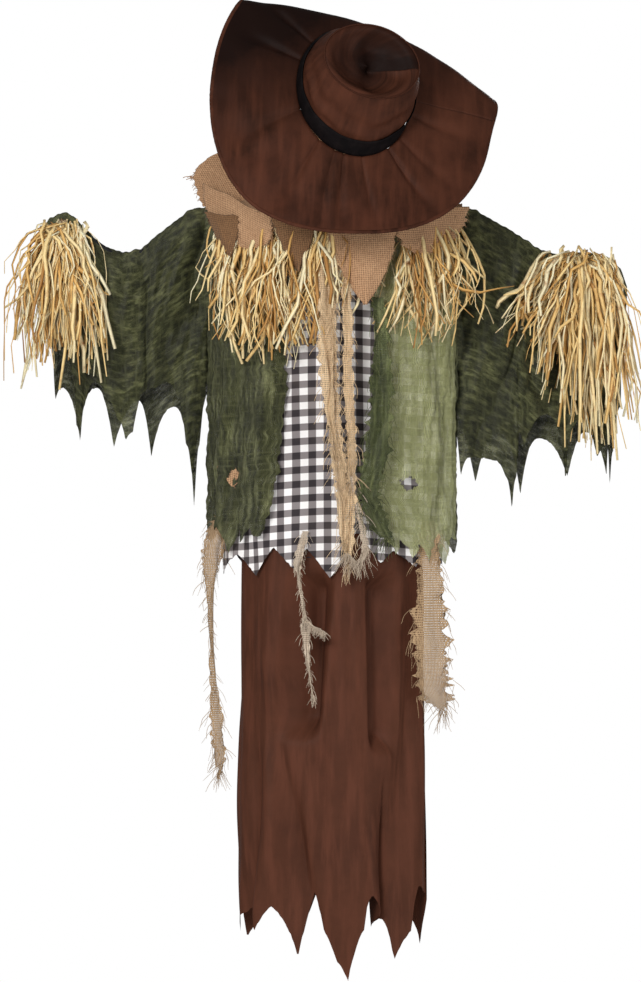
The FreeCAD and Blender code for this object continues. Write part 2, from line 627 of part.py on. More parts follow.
def make_crown():
    outer = oval_cone(CROWN_FOOT, CROWN_TOP, CROWN_HEIGHT, CROWN_BASE)
    inner = oval_cone(CROWN_FOOT, crown_half(CROWN_HEIGHT - HAT_FELT), CROWN_HEIGHT - HAT_FELT,
                      CROWN_BASE, -HAT_FELT)
    node("hat_crown", in_head(outer.cut(inner)))
    band_foot, band_height, band_gap, band_thick = 1.0, 26.0, 0.3, 1.2
    seat = CROWN_BASE + V(0, 0, band_foot)
    halves = (crown_half(band_foot), crown_half(band_foot + band_height))
    band = oval_cone(*halves, band_height, seat, band_gap + band_thick)
    node("hat_band", in_head(band.cut(oval_cone(*halves, band_height, seat, band_gap))))


def brim_stations(angle):
    """Places across the brim at one angle: at the crown, at the fold, and at the edge."""
    out = V(math.cos(angle), math.sin(angle), 0)
    gap = 1.0
    foot = V((CROWN_FOOT[0] + gap) * out.x, (CROWN_FOOT[1] + gap) * out.y, 0)
    toward_fold = out.dot(FOLD_DIRECTION)
    run = BRIM_WIDTH / 2
    if toward_fold > 0.05:
        run = min(run, max(6.0, (FOLD_DISTANCE - foot.dot(FOLD_DIRECTION)) / toward_fold))
    behind = toward_fold > 0 and run < BRIM_WIDTH / 2
    droops = (BRIM_DROOP, FOLD_DROOP if behind else BRIM_DROOP)
    stations = [foot]
    for length, droop in zip((run, BRIM_WIDTH - run), droops):
        slope = math.radians(droop)
        stations.append(stations[-1] + out * length * math.cos(slope) - Z_AXIS * length * math.sin(slope))
    return [CROWN_BASE + place for place in stations]


def make_brim():
    segments = 24
    rows = [brim_stations(2 * math.pi * i / segments) for i in range(segments + 1)]
    leaves = []
    for near, far in zip(rows, rows[1:]):
        for i in (0, 1):
            corners = [near[i + 1], far[i + 1], far[i], near[i]]
            leaves += [in_head(leaf) for leaf in thin_leaves(corners, V(0, 0, -HAT_FELT))]
    node("hat_brim", *leaves)


def brim_wire():
    """The springy wire bound to the brim's edge: one open ring whose two ends meet at the front."""
    wire_r, gap, stations, mitred = 1.2, 1.8, 24, 1
    places = []
    for i in range(stations + 1):
        angle = 2 * math.pi * i / stations - math.pi / 2
        at_fold, at_edge = brim_stations(angle)[1:]
        outward = (at_edge - at_fold).normalize()
        places.append(at_edge + outward * (wire_r + gap) - V(0, 0, HAT_FELT / 2))
    places[0] = places[0] * 0.9 + places[1] * 0.1
    route = Part.makePolygon(places)
    section = Part.Wire(Part.makeCircle(wire_r, places[0], places[1] - places[0]))
    return route.makePipeShell([section], True, True, mitred)


def make_hat():
    make_crown()
    make_brim()
    node("brim_wire", in_head(brim_wire()))


def thin_leaves(corners, push):
    """A four-cornered sheet as two flat three-cornered ones, so that each stays convex."""
    a, b, c, d = corners
    return [prism([a, b, c], push), prism([a, c, d], push)]


# ---- Arms ---------------------------------------------------------------------------------

# Each rod runs level out of its pivot, then down to the elbow and on to the wrist.
BEND_X = SHOULDER_X + 26
ARM_PATHS = {
    "left": [V(-SHOULDER_X, SHOULDER_Y, SHOULDER_Z), V(-BEND_X, SHOULDER_Y, SHOULDER_Z),
             V(-325, SHOULDER_Y, -134), V(-418, SHOULDER_Y, -72)],
    "right": [V(SHOULDER_X, SHOULDER_Y, SHOULDER_Z), V(BEND_X, SHOULDER_Y, SHOULDER_Z),
              V(330, SHOULDER_Y, -140), V(420, SHOULDER_Y, -138)],
}
# Sleeve strips from the shoulder outwards: far edge x, lower tip z, lower valley z, from the body out.
SLEEVES = {
    "left": [(-218, -330), (-240, -523, -330), (-276, -416, -320), (-312, -395, -335),
             (-352, -410, -370), (-388, -418, -380), (-424, -405, -330), (-452, -300, -190)],
    "right": [(218, -420), (256, -440, -400), (302, -522, -430), (340, -432, -410),
              (378, -484, -440), (414, -470, -440), (446, -488, -420), (472, -470, -290)],
}
SLEEVE_HALF_DEPTH = 18.0
HANDS = {
    "left": dict(wrist=V(-424, SHOULDER_Y, -62), reach=[(-492, -378), (-478, -392), (-448, -360), (-410, -350)]),
    "right": dict(wrist=V(404, SHOULDER_Y - 30, -112),
                  reach=[(288, -330), (330, -430), (380, -470), (430, -488), (476, -430)]),
}


def rod_height(path, x):
    """Height of the bent rod at a given x, level beyond its ends."""
    x = abs(x)
    for a, b in zip(path, path[1:]):
        if x <= abs(b.x):
            share = max(0.0, (x - abs(a.x)) / (abs(b.x) - abs(a.x)))
            return a.z + (b.z - a.z) * share
    return path[-1].z


def make_arm_rod(name):
    """Bent rod with a drilled eye round the pivot bolt and a ball at each bend and at the wrist."""
    path = ARM_PATHS[name]
    shoulder = path[0]
    eye_r, eye_half = 9.0, 5.6
    arm = rod(shoulder - V(0, 0, eye_half), shoulder + V(0, 0, eye_half), eye_r)
    for start, end in zip(path, path[1:]):
        arm = arm.fuse(rod(start, end, ROD_R)).fuse(Part.makeSphere(ROD_R, end))
    arm = arm.cut(rod(shoulder - V(0, 0, 20), shoulder + V(0, 0, 20), PIVOT_R + RUNNING_FIT))
    node(name + "_arm_rod", arm.removeSplitter())


def make_sleeve(name):
    """Open-bottomed drape: a front and a back curtain of strips, joined by a ridge over the rod."""
    path = ARM_PATHS[name]
    strips = SLEEVES[name]
    lift = 12.0
    start_x, start_valley = strips[0]
    solids = []
    for near, far in zip([(start_x, 0, start_valley)] + strips[1:-1], strips[1:]):
        tops = (rod_height(path, near[0]) + lift, rod_height(path, far[0]) + lift)
        if near[0] == start_x:
            tops = (SHOULDER_Z - 32, SHOULDER_Z - 32)
        for y in (-SLEEVE_HALF_DEPTH, SLEEVE_HALF_DEPTH):
            left = V(near[0], SHOULDER_Y + y, 0)
            right = V(far[0], SHOULDER_Y + y, 0)
            solids.append(panel(left, right, tops, (near[2], far[2]), far[1], V(0, -y, 0)))
        if near[0] != start_x:
            y = (SHOULDER_Y - SLEEVE_HALF_DEPTH, SHOULDER_Y + SLEEVE_HALF_DEPTH)
            ridge = [V(near[0], y[0], tops[0]), V(far[0], y[0], tops[1]),
                     V(far[0], y[1], tops[1]), V(near[0], y[1], tops[0])]
            solids.append(prism(ridge, V(0, 0, CLOTH)))
    node(name + "_sleeve", *solids)


def make_straw_hand(name):
    """Straw bound at the wrist and fanned out below it, as one tapered wad per spread."""
    hand = HANDS[name]
    wrist = hand["wrist"]
    wads = []
    half_top, half_foot, depth = 7.0, 13.0, 22.0
    spread = hand["reach"]
    for i, (x, z) in enumerate(spread):
        top_x = wrist.x + (i - (len(spread) - 1) / 2) * (2 * half_top + 1)
        y = wrist.y - SLEEVE_HALF_DEPTH - depth - 3 if name == "left" else wrist.y - depth
        outline = [V(top_x - half_top, y, wrist.z), V(top_x + half_top, y, wrist.z),
                   V(x + half_foot, y, z + 20), V(x, y, z), V(x - half_foot, y, z + 20)]
        wads.append(prism(outline, V(0, depth, 0)))
    node(name + "_straw_hand", *wads)


# ---- Clothes on the torso -----------------------------------------------------------------

def shoulder_top(x):
    """Cloth hangs from above the crossbar in the middle and from below it beside the brackets."""
    return -60.0 if abs(x) < 125 else -96.0


def make_gown():
    tips = [-1150, -1175, -1195, -1160, -1200, -1170, -1150,
            -1162, -1184, -1226, -1261, -1178, -1229, -1140]
    node("gown", *ring_panels(GOWN_HALF, evenly(0, 360, GOWN_PANELS), -590.0, -1122.0, tips))


def make_shirt():
    count = 16
    tips = [-618 - 4 * (i % 3) for i in range(count)]
    node("gingham_shirt", *ring_panels(SHIRT_HALF, evenly(0, 360, count), shoulder_top, -592.0, tips))


def make_jacket():
    left_edge = angle_at(JACKET_HALF, -74)
    right_edge = angle_at(JACKET_HALF, 58)
    node("jacket_left_front", *ring_panels(JACKET_HALF, evenly(181, left_edge, 4), shoulder_top,
                                           -535.0, [-556, -560, -562, -552]))
    node("jacket_right_front", *ring_panels(JACKET_HALF, evenly(right_edge, 359, 4), shoulder_top,
                                            -545.0, [-575, -606, -590, -566]))
    back = ring_panels(JACKET_HALF, evenly(1, 179, 8), shoulder_top, -535.0,
                       [-566, -580, -560, -590, -572, -585, -562, -578])
    for side in (-1, 1):
        neck_x, end_x = side * 92, side * 200
        yoke = [V(neck_x, TORSO_Y - 40, -40), V(end_x, TORSO_Y - 34, -57),
                V(end_x, TORSO_Y + 60, -57), V(neck_x, TORSO_Y + 62, -40)]
        back.append(prism(yoke, V(0, 0, CLOTH)))
    node("jacket_back", *back)


def front_strip(half, x, z, thick, point=0.0):
    """A flat piece lying on the front of a layer's oval between two x, ending in a point below."""
    low, high = x
    left = ring_point(half, angle_at(half, low))
    right = ring_point(half, angle_at(half, high))
    middle = (left + right) * 0.5
    outline = [raised(left, z[1]), raised(right, z[1]), raised(right, z[0] + point),
               raised(middle, z[0]), raised(left, z[0] + point)]
    along = right - left
    normal = V(0, 0, 1).cross(along).normalize()
    if normal.y > 0:
        normal = normal * -1
    return prism(outline, normal * thick)


def make_collar():
    """Burlap petals over the chest, and the sloping cape that they hang from."""
    petals = [((-190, -128), -104, 40), ((-126, -92), -124, 24), ((-88, -28), -146, 40), ((-24, 30), -150, 30),
              ((34, 92), -199, 60), ((96, 138), -130, 26), ((140, 190), -118, 40)]
    petal_top, neck_z, edge_z = -38.0, -10.0, -36.0
    solids = [front_strip(COLLAR_HALF, x, (tip, petal_top), CLOTH, point) for x, tip, point in petals]
    neck_half = (70.0, 50.0)
    edge_half = (COLLAR_HALF[0] - 2, COLLAR_HALF[1] - 2)
    angles = evenly(186, 354, 10)
    for start, end in zip(angles, angles[1:]):
        inner = [ring_point(neck_half, a, neck_z) for a in (start, end)]
        outer = [ring_point(edge_half, a, edge_z) for a in (end, start)]
        solids += thin_leaves(inner + outer, V(0, 0, -CLOTH))
    node("burlap_collar", *solids)


def make_neck_hood():
    """Loose burlap standing up behind the neck, parted in the middle for the hanger."""
    flaps = []
    for outer, inner, peak_share, peak_z in ((V(-188, -30, 0), V(-60, 12, 0), 0.14, 38.0),
                                             (V(180, -28, 0), V(60, 12, 0), 0.25, 10.0)):
        peak = outer + (inner - outer) * peak_share
        outline = [raised(outer, -34), raised(inner, -34), raised(inner, 6), raised(peak, peak_z)]
        across = (inner - outer).cross(Z_AXIS).normalize()
        flaps.append(prism(outline, across * CLOTH))
    node("neck_hood", *flaps)


def make_straw_collars():
    tufts = {
        "straw_collar_left": [(-184, -150, -232), (-146, -112, -262), (-108, -74, -283),
                              (-70, -36, -262), (-32, 6, -205)],
        "straw_collar_right": [(100, 130, -262), (134, 162, -250), (164, 188, -190)],
    }
    thick = 9.0
    for name, wads in tufts.items():
        node(name, *[front_strip(STRAW_HALF, (low, high), (foot, -70), thick, 30) for low, high, foot in wads])


def flat_strip(x, z, y, point):
    """A strip hanging square to the front, ending in a point below."""
    outline = [V(x[0], y, z[1]), V(x[1], y, z[1]), V(x[1], y, z[0] + point),
               V((x[0] + x[1]) / 2, y, z[0]), V(x[0], y, z[0] + point)]
    return prism(outline, V(0, -CLOTH, 0))


def make_loose_strips():
    tail_half = (SHIRT_HALF[0], COLLAR_HALF[1] + 4)
    node("centre_tails", front_strip(tail_half, (-20, 2), (-572, -62), 1.0, 20),
         front_strip(tail_half, (6, 26), (-607, -62), 1.0, 20))
    node("left_hip_strip", flat_strip((-206, -176), (-931, -530), -72, 40))
    node("right_hip_strip", flat_strip((130, 178), (-835, -545), -106, 40))
    node("frayed_strand", front_strip((GOWN_HALF[0], JACKET_HALF[1] - 8), (-36, -12), (-824, -560), 1.0, 40))


# ---- Build --------------------------------------------------------------------------------

def build():
    make_spine()
    make_waist_hoop()
    make_crossbar()
    make_hanger()
    make_case()
    make_battery_door()
    make_batteries()
    make_electrics()
    make_gears()
    make_neck_bracket()
    make_motor()
    make_yoke()
    make_head()
    make_sack_face()
    make_hat()
    for side, name in ((-1, "left"), (1, "right")):
        make_shoulder_bracket(side, name)
        make_arm_rod(name)
        make_sleeve(name)
        make_straw_hand(name)
    make_gown()
    make_shirt()
    make_jacket()
    make_collar()
    make_neck_hood()
    make_straw_collars()
    make_loose_strips()


def export():
    os.makedirs("parts", exist_ok=True)
    for name, shape in nodes.items():
        shape.exportStep("parts/" + name + ".step")
        solids = shape.Solids
        state = "ok" if shape.isValid() and all(s.isValid() for s in solids) else "INVALID"
        print(name, len(solids), "solids", round(shape.Volume / 1000, 2), "cm3", state)
    print(len(nodes), "nodes")


build()
export()
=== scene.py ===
import json
import math
import random
from collections import namedtuple

import bmesh
import bpy
from mathutils import Matrix, Quaternion, Vector, noise


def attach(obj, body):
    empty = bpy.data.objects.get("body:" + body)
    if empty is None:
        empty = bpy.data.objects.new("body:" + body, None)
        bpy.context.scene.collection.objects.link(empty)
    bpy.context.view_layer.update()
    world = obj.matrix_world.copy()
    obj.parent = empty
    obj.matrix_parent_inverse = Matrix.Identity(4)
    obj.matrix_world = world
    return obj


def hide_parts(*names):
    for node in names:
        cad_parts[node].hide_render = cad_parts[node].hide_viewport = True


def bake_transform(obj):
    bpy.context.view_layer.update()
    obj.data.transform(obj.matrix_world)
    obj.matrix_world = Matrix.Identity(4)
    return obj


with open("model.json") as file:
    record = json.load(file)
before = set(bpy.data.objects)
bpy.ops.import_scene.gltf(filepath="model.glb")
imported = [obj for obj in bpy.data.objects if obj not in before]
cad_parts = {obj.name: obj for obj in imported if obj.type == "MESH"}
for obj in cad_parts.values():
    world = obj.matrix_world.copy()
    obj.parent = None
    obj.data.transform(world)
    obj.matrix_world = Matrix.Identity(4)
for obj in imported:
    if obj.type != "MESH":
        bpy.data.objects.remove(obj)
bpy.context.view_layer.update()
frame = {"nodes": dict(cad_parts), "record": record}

MM = 0.001

# Hanging scarecrow. The origin is the hanger hole behind the neck, +Z is up and the figure faces -Y.
# Shape numbers are in millimetres and are turned into metres when a mesh is made.

JOINTS = {joint["name"]: joint for joint in frame["record"]["behaviour"]["joints"]}
NECK = Vector(JOINTS["head_tilt"]["pos_m"]) / MM
LEFT_SHOULDER = Vector(JOINTS["left_arm_swing"]["pos_m"]) / MM
RIGHT_SHOULDER = Vector(JOINTS["right_arm_swing"]["pos_m"]) / MM

# Each layer on the torso is an oval with these half sizes across X and Y.
TORSO_Y = -40.0
GOWN_HALF = (141.0, 71.0)
SHIRT_HALF = (173.0, 75.0)
JACKET_HALF = (186.0, 88.0)

# The head is modelled upright, with its own Z up, and then bowed forward and leant to one side.
BOW = math.radians(66)
LEAN = math.radians(17)
HEAD_FRAME = Matrix.Translation(NECK) @ Matrix.Rotation(BOW, 4, "X") @ Matrix.Rotation(LEAN, 4, "Y")
HEAD_CENTRE = Vector((-12, 4, 150))
CROWN_FOOT = Vector((-23.5, 1, 190))


# ---- Small sums -----------------------------------------------------------------------------

def clamp(value, low=0.0, high=1.0):
    return max(low, min(high, value))


def smooth(value):
    t = clamp(value)
    return t * t * (3 - 2 * t)


def mix(a, b, share):
    return a + (b - a) * share


def bell(value, centre, width):
    return math.exp(-((value - centre) / width) ** 2)


def wobble(x, y, seed=0.0):
    """Smooth noise between about -1 and 1."""
    return noise.noise(Vector((x, y, seed * 7.31 + 0.5)))


def along(points, x):
    """Height at x of a line through points of (x, height)."""
    if x <= points[0][0]:
        return points[0][1]
    for (x0, y0), (x1, y1) in zip(points, points[1:]):
        if x <= x1:
            return mix(y0, y1, (x - x0) / (x1 - x0))
    return points[-1][1]


def scalloped(points, x, sharp=2.2):
    """As along, but high points are wide arches and low points are drawn out to thin tips."""
    for (x0, y0), (x1, y1) in zip(points, points[1:]):
        if x0 <= x <= x1:
            t = (x - x0) / (x1 - x0)
            t = t ** sharp if y1 < y0 else 1 - (1 - t) ** sharp
            return mix(y0, y1, t)
    return along(points, x)


def heading(angle):
    """The level direction at an angle from +X."""
    return Vector((math.cos(angle), math.sin(angle), 0))


# ---- Meshes ---------------------------------------------------------------------------------

def piece(name, mesh, material, body, hides=()):
    """Make an object of a mesh, give it its material, and let it ride on a body."""
    obj = bpy.data.objects.new(name, mesh)
    bpy.context.scene.collection.objects.link(obj)
    mesh.materials.append(material)
    for polygon in mesh.polygons:
        polygon.use_smooth = True
    if body:
        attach(obj, body)
    if hides:
        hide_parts(*hides)
    return obj


def in_a_hole(point, holes):
    """Whether a point lies in one of the holes (x, z, half width, half height), which have ragged edges."""
    for x, z, half_x, half_z in holes:
        reach = math.hypot((point.x - x) / half_x, (point.z - z) / half_z)
        if reach < 1 + 0.5 * wobble(point.x / 5, point.z / 5, 3):
            return True
    return False


def cloth(name, rows, columns, spot, material, body, hides=(), torn=None):
    """Make a sheet. spot(r, c) gives a point in millimetres and its place on the uncut cloth.

    torn(r, c), where it is given, says whether the cloth beside that point is torn away."""
    spots = [spot(r, c) for r in range(rows + 1) for c in range(columns + 1)]
    across = columns + 1
    faces = []
    for r in range(rows):
        for c in range(columns):
            corner = r * across + c
            if torn is None or not torn(r, c):
                faces.append((corner, corner + 1, corner + 1 + across, corner + across))
    mesh = bpy.data.meshes.new(name)
    mesh.from_pydata([place * MM for place, _ in spots], [], faces)
    layer = mesh.uv_layers.new(name="UVMap")
    for loop in mesh.loops:
        u, v = spots[loop.vertex_index][1]
        layer.data[loop.index].uv = (u * MM, v * MM)
    mesh.validate()
    drop_loose_points(mesh)
    return piece(name, mesh, material, body, hides)


def drop_loose_points(mesh):
    """Delete the points that a hole left without a face."""
    made = bmesh.new()
    made.from_mesh(mesh)
    loose = [point for point in made.verts if not point.link_faces]
    bmesh.ops.delete(made, geom=loose, context="VERTS")
    made.to_mesh(mesh)
    made.free()


def thicken(sheet, thickness, offset=-1):
    """Give a sheet a thickness in millimetres, behind its face or, with an offset of 1, before it."""
    made = sheet.modifiers.new("thickness", "SOLIDIFY")
    made.thickness = thickness * MM
    made.offset = offset


def cut_area(mesh):
    """Area of the cloth's pattern, from its flat places, in square metres."""
    uv = mesh.uv_layers[0].data
    total = 0.0
    for polygon in mesh.polygons:
        spots = [uv[i].uv for i in polygon.loop_indices]
        for i in range(1, len(spots) - 1):
            a, b = spots[i] - spots[0], spots[i + 1] - spots[0]
            total += abs(a.x * b.y - a.y * b.x) / 2
    return total


def declare_cloth(obj):
    """Work out the size of the rectangle that a sheet's pattern was cut from, and its cut area, without
    keeping them.
    """
    uv = [item.uv for item in obj.data.uv_layers[0].data]
    width = max(p.x for p in uv) - min(p.x for p in uv)
    length = max(p.y for p in uv) - min(p.y for p in uv)
    area = clamp(cut_area(obj.data), 0.31 * width * length, width * length)


# A thin flat straw or thread along points. twist is in radians, and shade is 0 for dark and 1 for pale.
Strand = namedtuple("Strand", "points width thick twist shade")

# The flat face of a strand looks this way, as nearly as it can, before it is twisted.
STRAND_FACING = Vector((0.13, 1.0, 0.21))


def strand_rings(strand):
    """The four corners around each point of a strand, and how far along it that point is in metres."""
    points = strand.points
    last = len(points) - 1
    run = 0.0
    for i, point in enumerate(points):
        following = points[min(i + 1, last)]
        ahead = following - points[max(i - 1, 0)]
        ahead.normalize()
        side = ahead.cross(STRAND_FACING)
        side.normalize()
        side.rotate(Matrix.Rotation(strand.twist * (0.5 + i / last), 3, ahead))
        taper = 0.35 + 0.65 * math.sin(math.pi * clamp(0.12 + 0.8 * i / last)) ** 0.5
        half = side * strand.width * taper / 2
        up = ahead.cross(side) * strand.thick / 2
        yield [(point + corner) * MM for corner in (half, up, -half, -up)], run
        run += (following - point).length * MM


def make_strands(name, strands, material, body, hides=()):
    """Make one piece of many strands. Its map holds each strand's shade and the distance along it."""
    places = []
    faces = []
    shades = []
    for strand in strands:
        first = len(places)
        for corners, run in strand_rings(strand):
            places += corners
            shades += [(strand.shade, run)] * 4
        end = len(places) - 4
        for low in range(first, end, 4):
            for k in range(4):
                faces.append((low + k, low + (k + 1) % 4, low + 4 + (k + 1) % 4, low + 4 + k))
        faces.append((first + 3, first + 2, first + 1, first))
        faces.append((end, end + 1, end + 2, end + 3))
    mesh = bpy.data.meshes.new(name)
    mesh.from_pydata(places, [], faces)
    layer = mesh.uv_layers.new(name="UVMap")
    for loop in mesh.loops:
        layer.data[loop.index].uv = shades[loop.vertex_index]
    piece(name, mesh, material, body, hides)


# ---- Materials ------------------------------------------------------------------------------

# Lengths in materials are in metres, like the flat places that they are measured on.
CHECK_REPEAT = 0.0223
TWILL_PITCH = 0.0009
TWILL_SCALE = 0.31 / TWILL_PITCH


def linear(channel):
    """The linear light of one screen channel of 0 to 255."""
    if channel > 10:
        return ((channel / 255 + 0.055) / 1.055) ** 2.4
    return channel / 3294


def srgb(red, green, blue):
    """A screen colour of 0 to 255 as the linear colour that a shader takes."""
    return tuple(linear(channel) for channel in (red, green, blue)) + (1.0,)


class Recipe:
    """A node material, with short ways to add nodes to it."""

    SOCKETS = {"roughness": "Roughness", "metallic": "Metallic", "specular": "Specular IOR Level",
               "sheen": "Sheen Weight", "sheen_roughness": "Sheen Roughness", "coat": "Coat Weight",
               "anisotropic": "Anisotropic"}

    def __init__(self, name):
        self.material = bpy.data.materials.new(name)
        self.material.use_nodes = True
        self.tree = self.material.node_tree
        self.shader = self.tree.nodes["Principled BSDF"]
        self.set(specular=0.1)

    def set(self, **values):
        """Constant values on the shader's own sockets."""
        for key, value in values.items():
            self.shader.inputs[self.SOCKETS[key]].default_value = value

    def node(self, kind, outlet=0, fields=None, **inputs):
        """Add a node, set its fields and inputs, and give back one of its outlets. i0 is its first input."""
        made = self.tree.nodes.new(kind)
        for key, value in (fields or {}).items():
            setattr(made, key, value)
        for key, value in inputs.items():
            socket = made.inputs[int(key[1:])] if key[1:].isdigit() else made.inputs[key]
            if isinstance(value, bpy.types.NodeSocket):
                self.tree.links.new(value, socket)
            else:
                socket.default_value = value
        return made.outputs[outlet]

    def maths(self, operation, a, b=0.0):
        return self.node("ShaderNodeMath", fields={"operation": operation}, i0=a, i1=b)

    def plus(self, a, b):
        return self.maths("ADD", a, b)

    def times(self, a, b):
        return self.maths("MULTIPLY", a, b)

    def uv(self):
        return self.node("ShaderNodeUVMap")

    def place(self):
        """The point's coordinates along its object's own axes."""
        return self.node("ShaderNodeTexCoord", outlet=3)

    def stretched(self, source, x, y, z=1.0):
        return self.node("ShaderNodeMapping", Vector=source, Scale=(x, y, z))

    def split(self, source):
        """The first two parts of a vector."""
        parts = self.tree.nodes.new("ShaderNodeSeparateXYZ")
        self.tree.links.new(source, parts.inputs[0])
        return parts.outputs[0], parts.outputs[1]

    def noise(self, source, scale, detail=3.0, roughness=0.55):
        return self.node("ShaderNodeTexNoise", Vector=source, Scale=scale, Detail=detail, Roughness=roughness)

    def ramp(self, value, stops):
        """Colours at places from 0 to 1."""
        made = self.tree.nodes.new("ShaderNodeValToRGB")
        self.tree.links.new(value, made.inputs[0])
        band = made.color_ramp.elements
        while len(band) < len(stops):
            band.new(0.5)
        for element, (place, colour) in zip(band, stops):
            element.position = place
            element.color = colour
        return made.outputs[0]

    def between(self, value, low=0.0, high=1.0, least=0.0, most=1.0):
        """least where value is below low, most where it is above high, and a mix of them in between."""
        limits = {"From Min": low, "From Max": high, "To Min": least, "To Max": most}
        return self.node("ShaderNodeMapRange", Value=value, **limits)

    def blend(self, share, a, b):
        """Colour a where share is 0 and colour b where it is 1."""
        return self.node("ShaderNodeMix", outlet=2, fields={"data_type": "RGBA"}, i0=share, i6=a, i7=b)

    def fade(self, value, low, high, a, b):
        """Colour a where value is below low and colour b where it is above high."""
        return self.blend(self.between(value, low, high), a, b)

    def ridge(self, coordinate, pitch):
        """A sine wave with a half wave in each pitch, and its size without its sign: round threads."""
        wave = self.maths("SINE", self.times(coordinate, math.pi / pitch))
        return wave, self.maths("ABSOLUTE", wave)

    def colour(self, socket):
        self.tree.links.new(socket, self.shader.inputs["Base Color"])

    def alpha(self, socket):
        self.tree.links.new(socket, self.shader.inputs["Alpha"])

    def rough(self, socket):
        self.tree.links.new(socket, self.shader.inputs["Roughness"])

    def bump(self, height, strength, distance):
        normal = self.node("ShaderNodeBump", Strength=strength, Distance=distance, Height=height)
        self.tree.links.new(normal, self.shader.inputs["Normal"])


def woven(recipe, source, pitch, jitter=0.0006, jitter_scale=60.0):
    """Plain weave: its height, and its threads' profile, which is 0 in the gaps between all threads."""
    warped = recipe.node("ShaderNodeTexNoise", outlet=1, Vector=source, Scale=jitter_scale, Detail=2.0)
    shift = recipe.node("ShaderNodeVectorMath", fields={"operation": "SCALE"}, i0=warped, Scale=jitter)
    moved = recipe.node("ShaderNodeVectorMath", fields={"operation": "ADD"}, i0=source, i1=shift)
    u, v = recipe.split(moved)
    warp_wave, warp = recipe.ridge(u, pitch)
    weft_wave, weft = recipe.ridge(v, pitch)
    over = recipe.between(recipe.times(warp_wave, weft_wave), -0.5, 0.5)
    under = recipe.maths("SUBTRACT", 1.0, over)
    height = recipe.plus(recipe.times(warp, over), recipe.times(weft, under))
    return height, recipe.maths("MAXIMUM", warp, weft)


def burlap_material(name, light, dark, pitch=0.0034, holes=0.0):
    """Coarse weave with slubs, blotches and painted shade in the gaps between threads. Where a thread's
    profile is below holes, it is open.
    """
    recipe = Recipe(name)
    source = recipe.uv()
    height, threads = woven(recipe, source, pitch)
    slubs = recipe.noise(recipe.stretched(source, 420, 150), 1.0, 2.0)
    blotch = recipe.noise(source, 22.0, 4.0)
    tone = recipe.fade(slubs, 0.3, 0.6, recipe.blend(0.45, light, dark), light)
    tone = recipe.fade(blotch, 0.3, 0.75, recipe.blend(0.35, tone, dark), tone)
    # Painted shade: where the weave is low, between the threads, the colour is darkened nearly to black.
    gap_shade_colour = (0.03, 0.018, 0.01, 1)
    recipe.colour(recipe.fade(height, 0.15, 0.65, recipe.blend(0.75, tone, gap_shade_colour), tone))
    if holes:
        recipe.alpha(recipe.between(threads, holes, holes + 0.12))
    recipe.set(roughness=0.9, specular=0.06, sheen=0.06, sheen_roughness=0.6)
    recipe.bump(height, 0.8, 0.0012)
    return recipe.material


def straw_material():
    """Dried straw: each strand has a shade of its own, streaks along it and brown knots."""
    recipe = Recipe("straw")
    shade, _ = recipe.split(recipe.uv())
    tone = recipe.ramp(shade, [(0.0, srgb(168, 120, 64)), (0.2, srgb(228, 182, 108)),
                               (0.5, srgb(252, 224, 158)), (1.0, srgb(255, 250, 214))])
    streak = recipe.noise(recipe.stretched(recipe.place(), 900, 900, 60), 1.0, 2.0)
    knots = recipe.noise(recipe.place(), 70.0, 3.0)
    tone = recipe.fade(streak, 0.35, 0.75, recipe.blend(0.3, tone, srgb(150, 100, 54)), tone)
    recipe.colour(recipe.fade(knots, 0.58, 0.8, tone, srgb(170, 112, 60)))
    recipe.set(roughness=0.5, specular=0.25)
    recipe.bump(streak, 0.4, 0.0006)
    return recipe.material


def satin_material(name, light, mid, dark, rubbed=1.0, shadow=False):
    """Smooth brown satin with a fine twill line. shadow adds painted shade, a soft dark gradient over one
    side of it.
    """
    recipe = Recipe(name)
    source = recipe.uv()
    twill = recipe.node("ShaderNodeTexWave", fields={"bands_direction": "DIAGONAL"}, outlet=1, Vector=source,
                        Scale=TWILL_SCALE, Distortion=0.4, Detail=1.0)
    cloud = recipe.noise(source, 9.0, 5.0, 0.6)
    rub = recipe.noise(recipe.stretched(source, 60, 9), 1.0, 4.0)
    tone = recipe.ramp(cloud, [(0.5 - 0.2 * rubbed, dark), (0.5, mid), (0.72, light)])
    tone = recipe.blend(recipe.times(recipe.between(rub, 0.45, 0.75), rubbed), tone, light)
    if shadow:
        # Painted shade: a soft gradient across the flat pattern, broken up by the cloud, darkens one side.
        u, v = recipe.split(source)
        slope = recipe.plus(recipe.times(v, 3.4), recipe.times(u, -1.6))
        stain_and_painted_shade = recipe.plus(slope, recipe.times(cloud, 0.9))
        tone = recipe.fade(stain_and_painted_shade, 0.35, 1.0, tone, srgb(24, 13, 10))
    recipe.colour(recipe.blend(recipe.times(twill, 0.18), tone, dark))
    recipe.rough(recipe.between(cloud, least=0.42, most=0.6))
    recipe.set(specular=0.05, anisotropic=0.3)
    recipe.bump(twill, 0.25, 0.0003)
    return recipe.material


def band_material():
    """Black ribbon with fine ribs across it and a little dust."""
    recipe = Recipe("black_grosgrain")
    u, _ = recipe.split(recipe.uv())
    _, rib = recipe.ridge(u, pitch=0.0014)
    dust = recipe.noise(recipe.uv(), 60.0, 3.0)
    recipe.colour(recipe.fade(dust, 0.4, 0.8, srgb(10, 7, 8), srgb(24, 18, 18)))
    recipe.set(roughness=0.7, specular=0.08)
    recipe.bump(rib, 0.7, 0.0005)
    return recipe.material


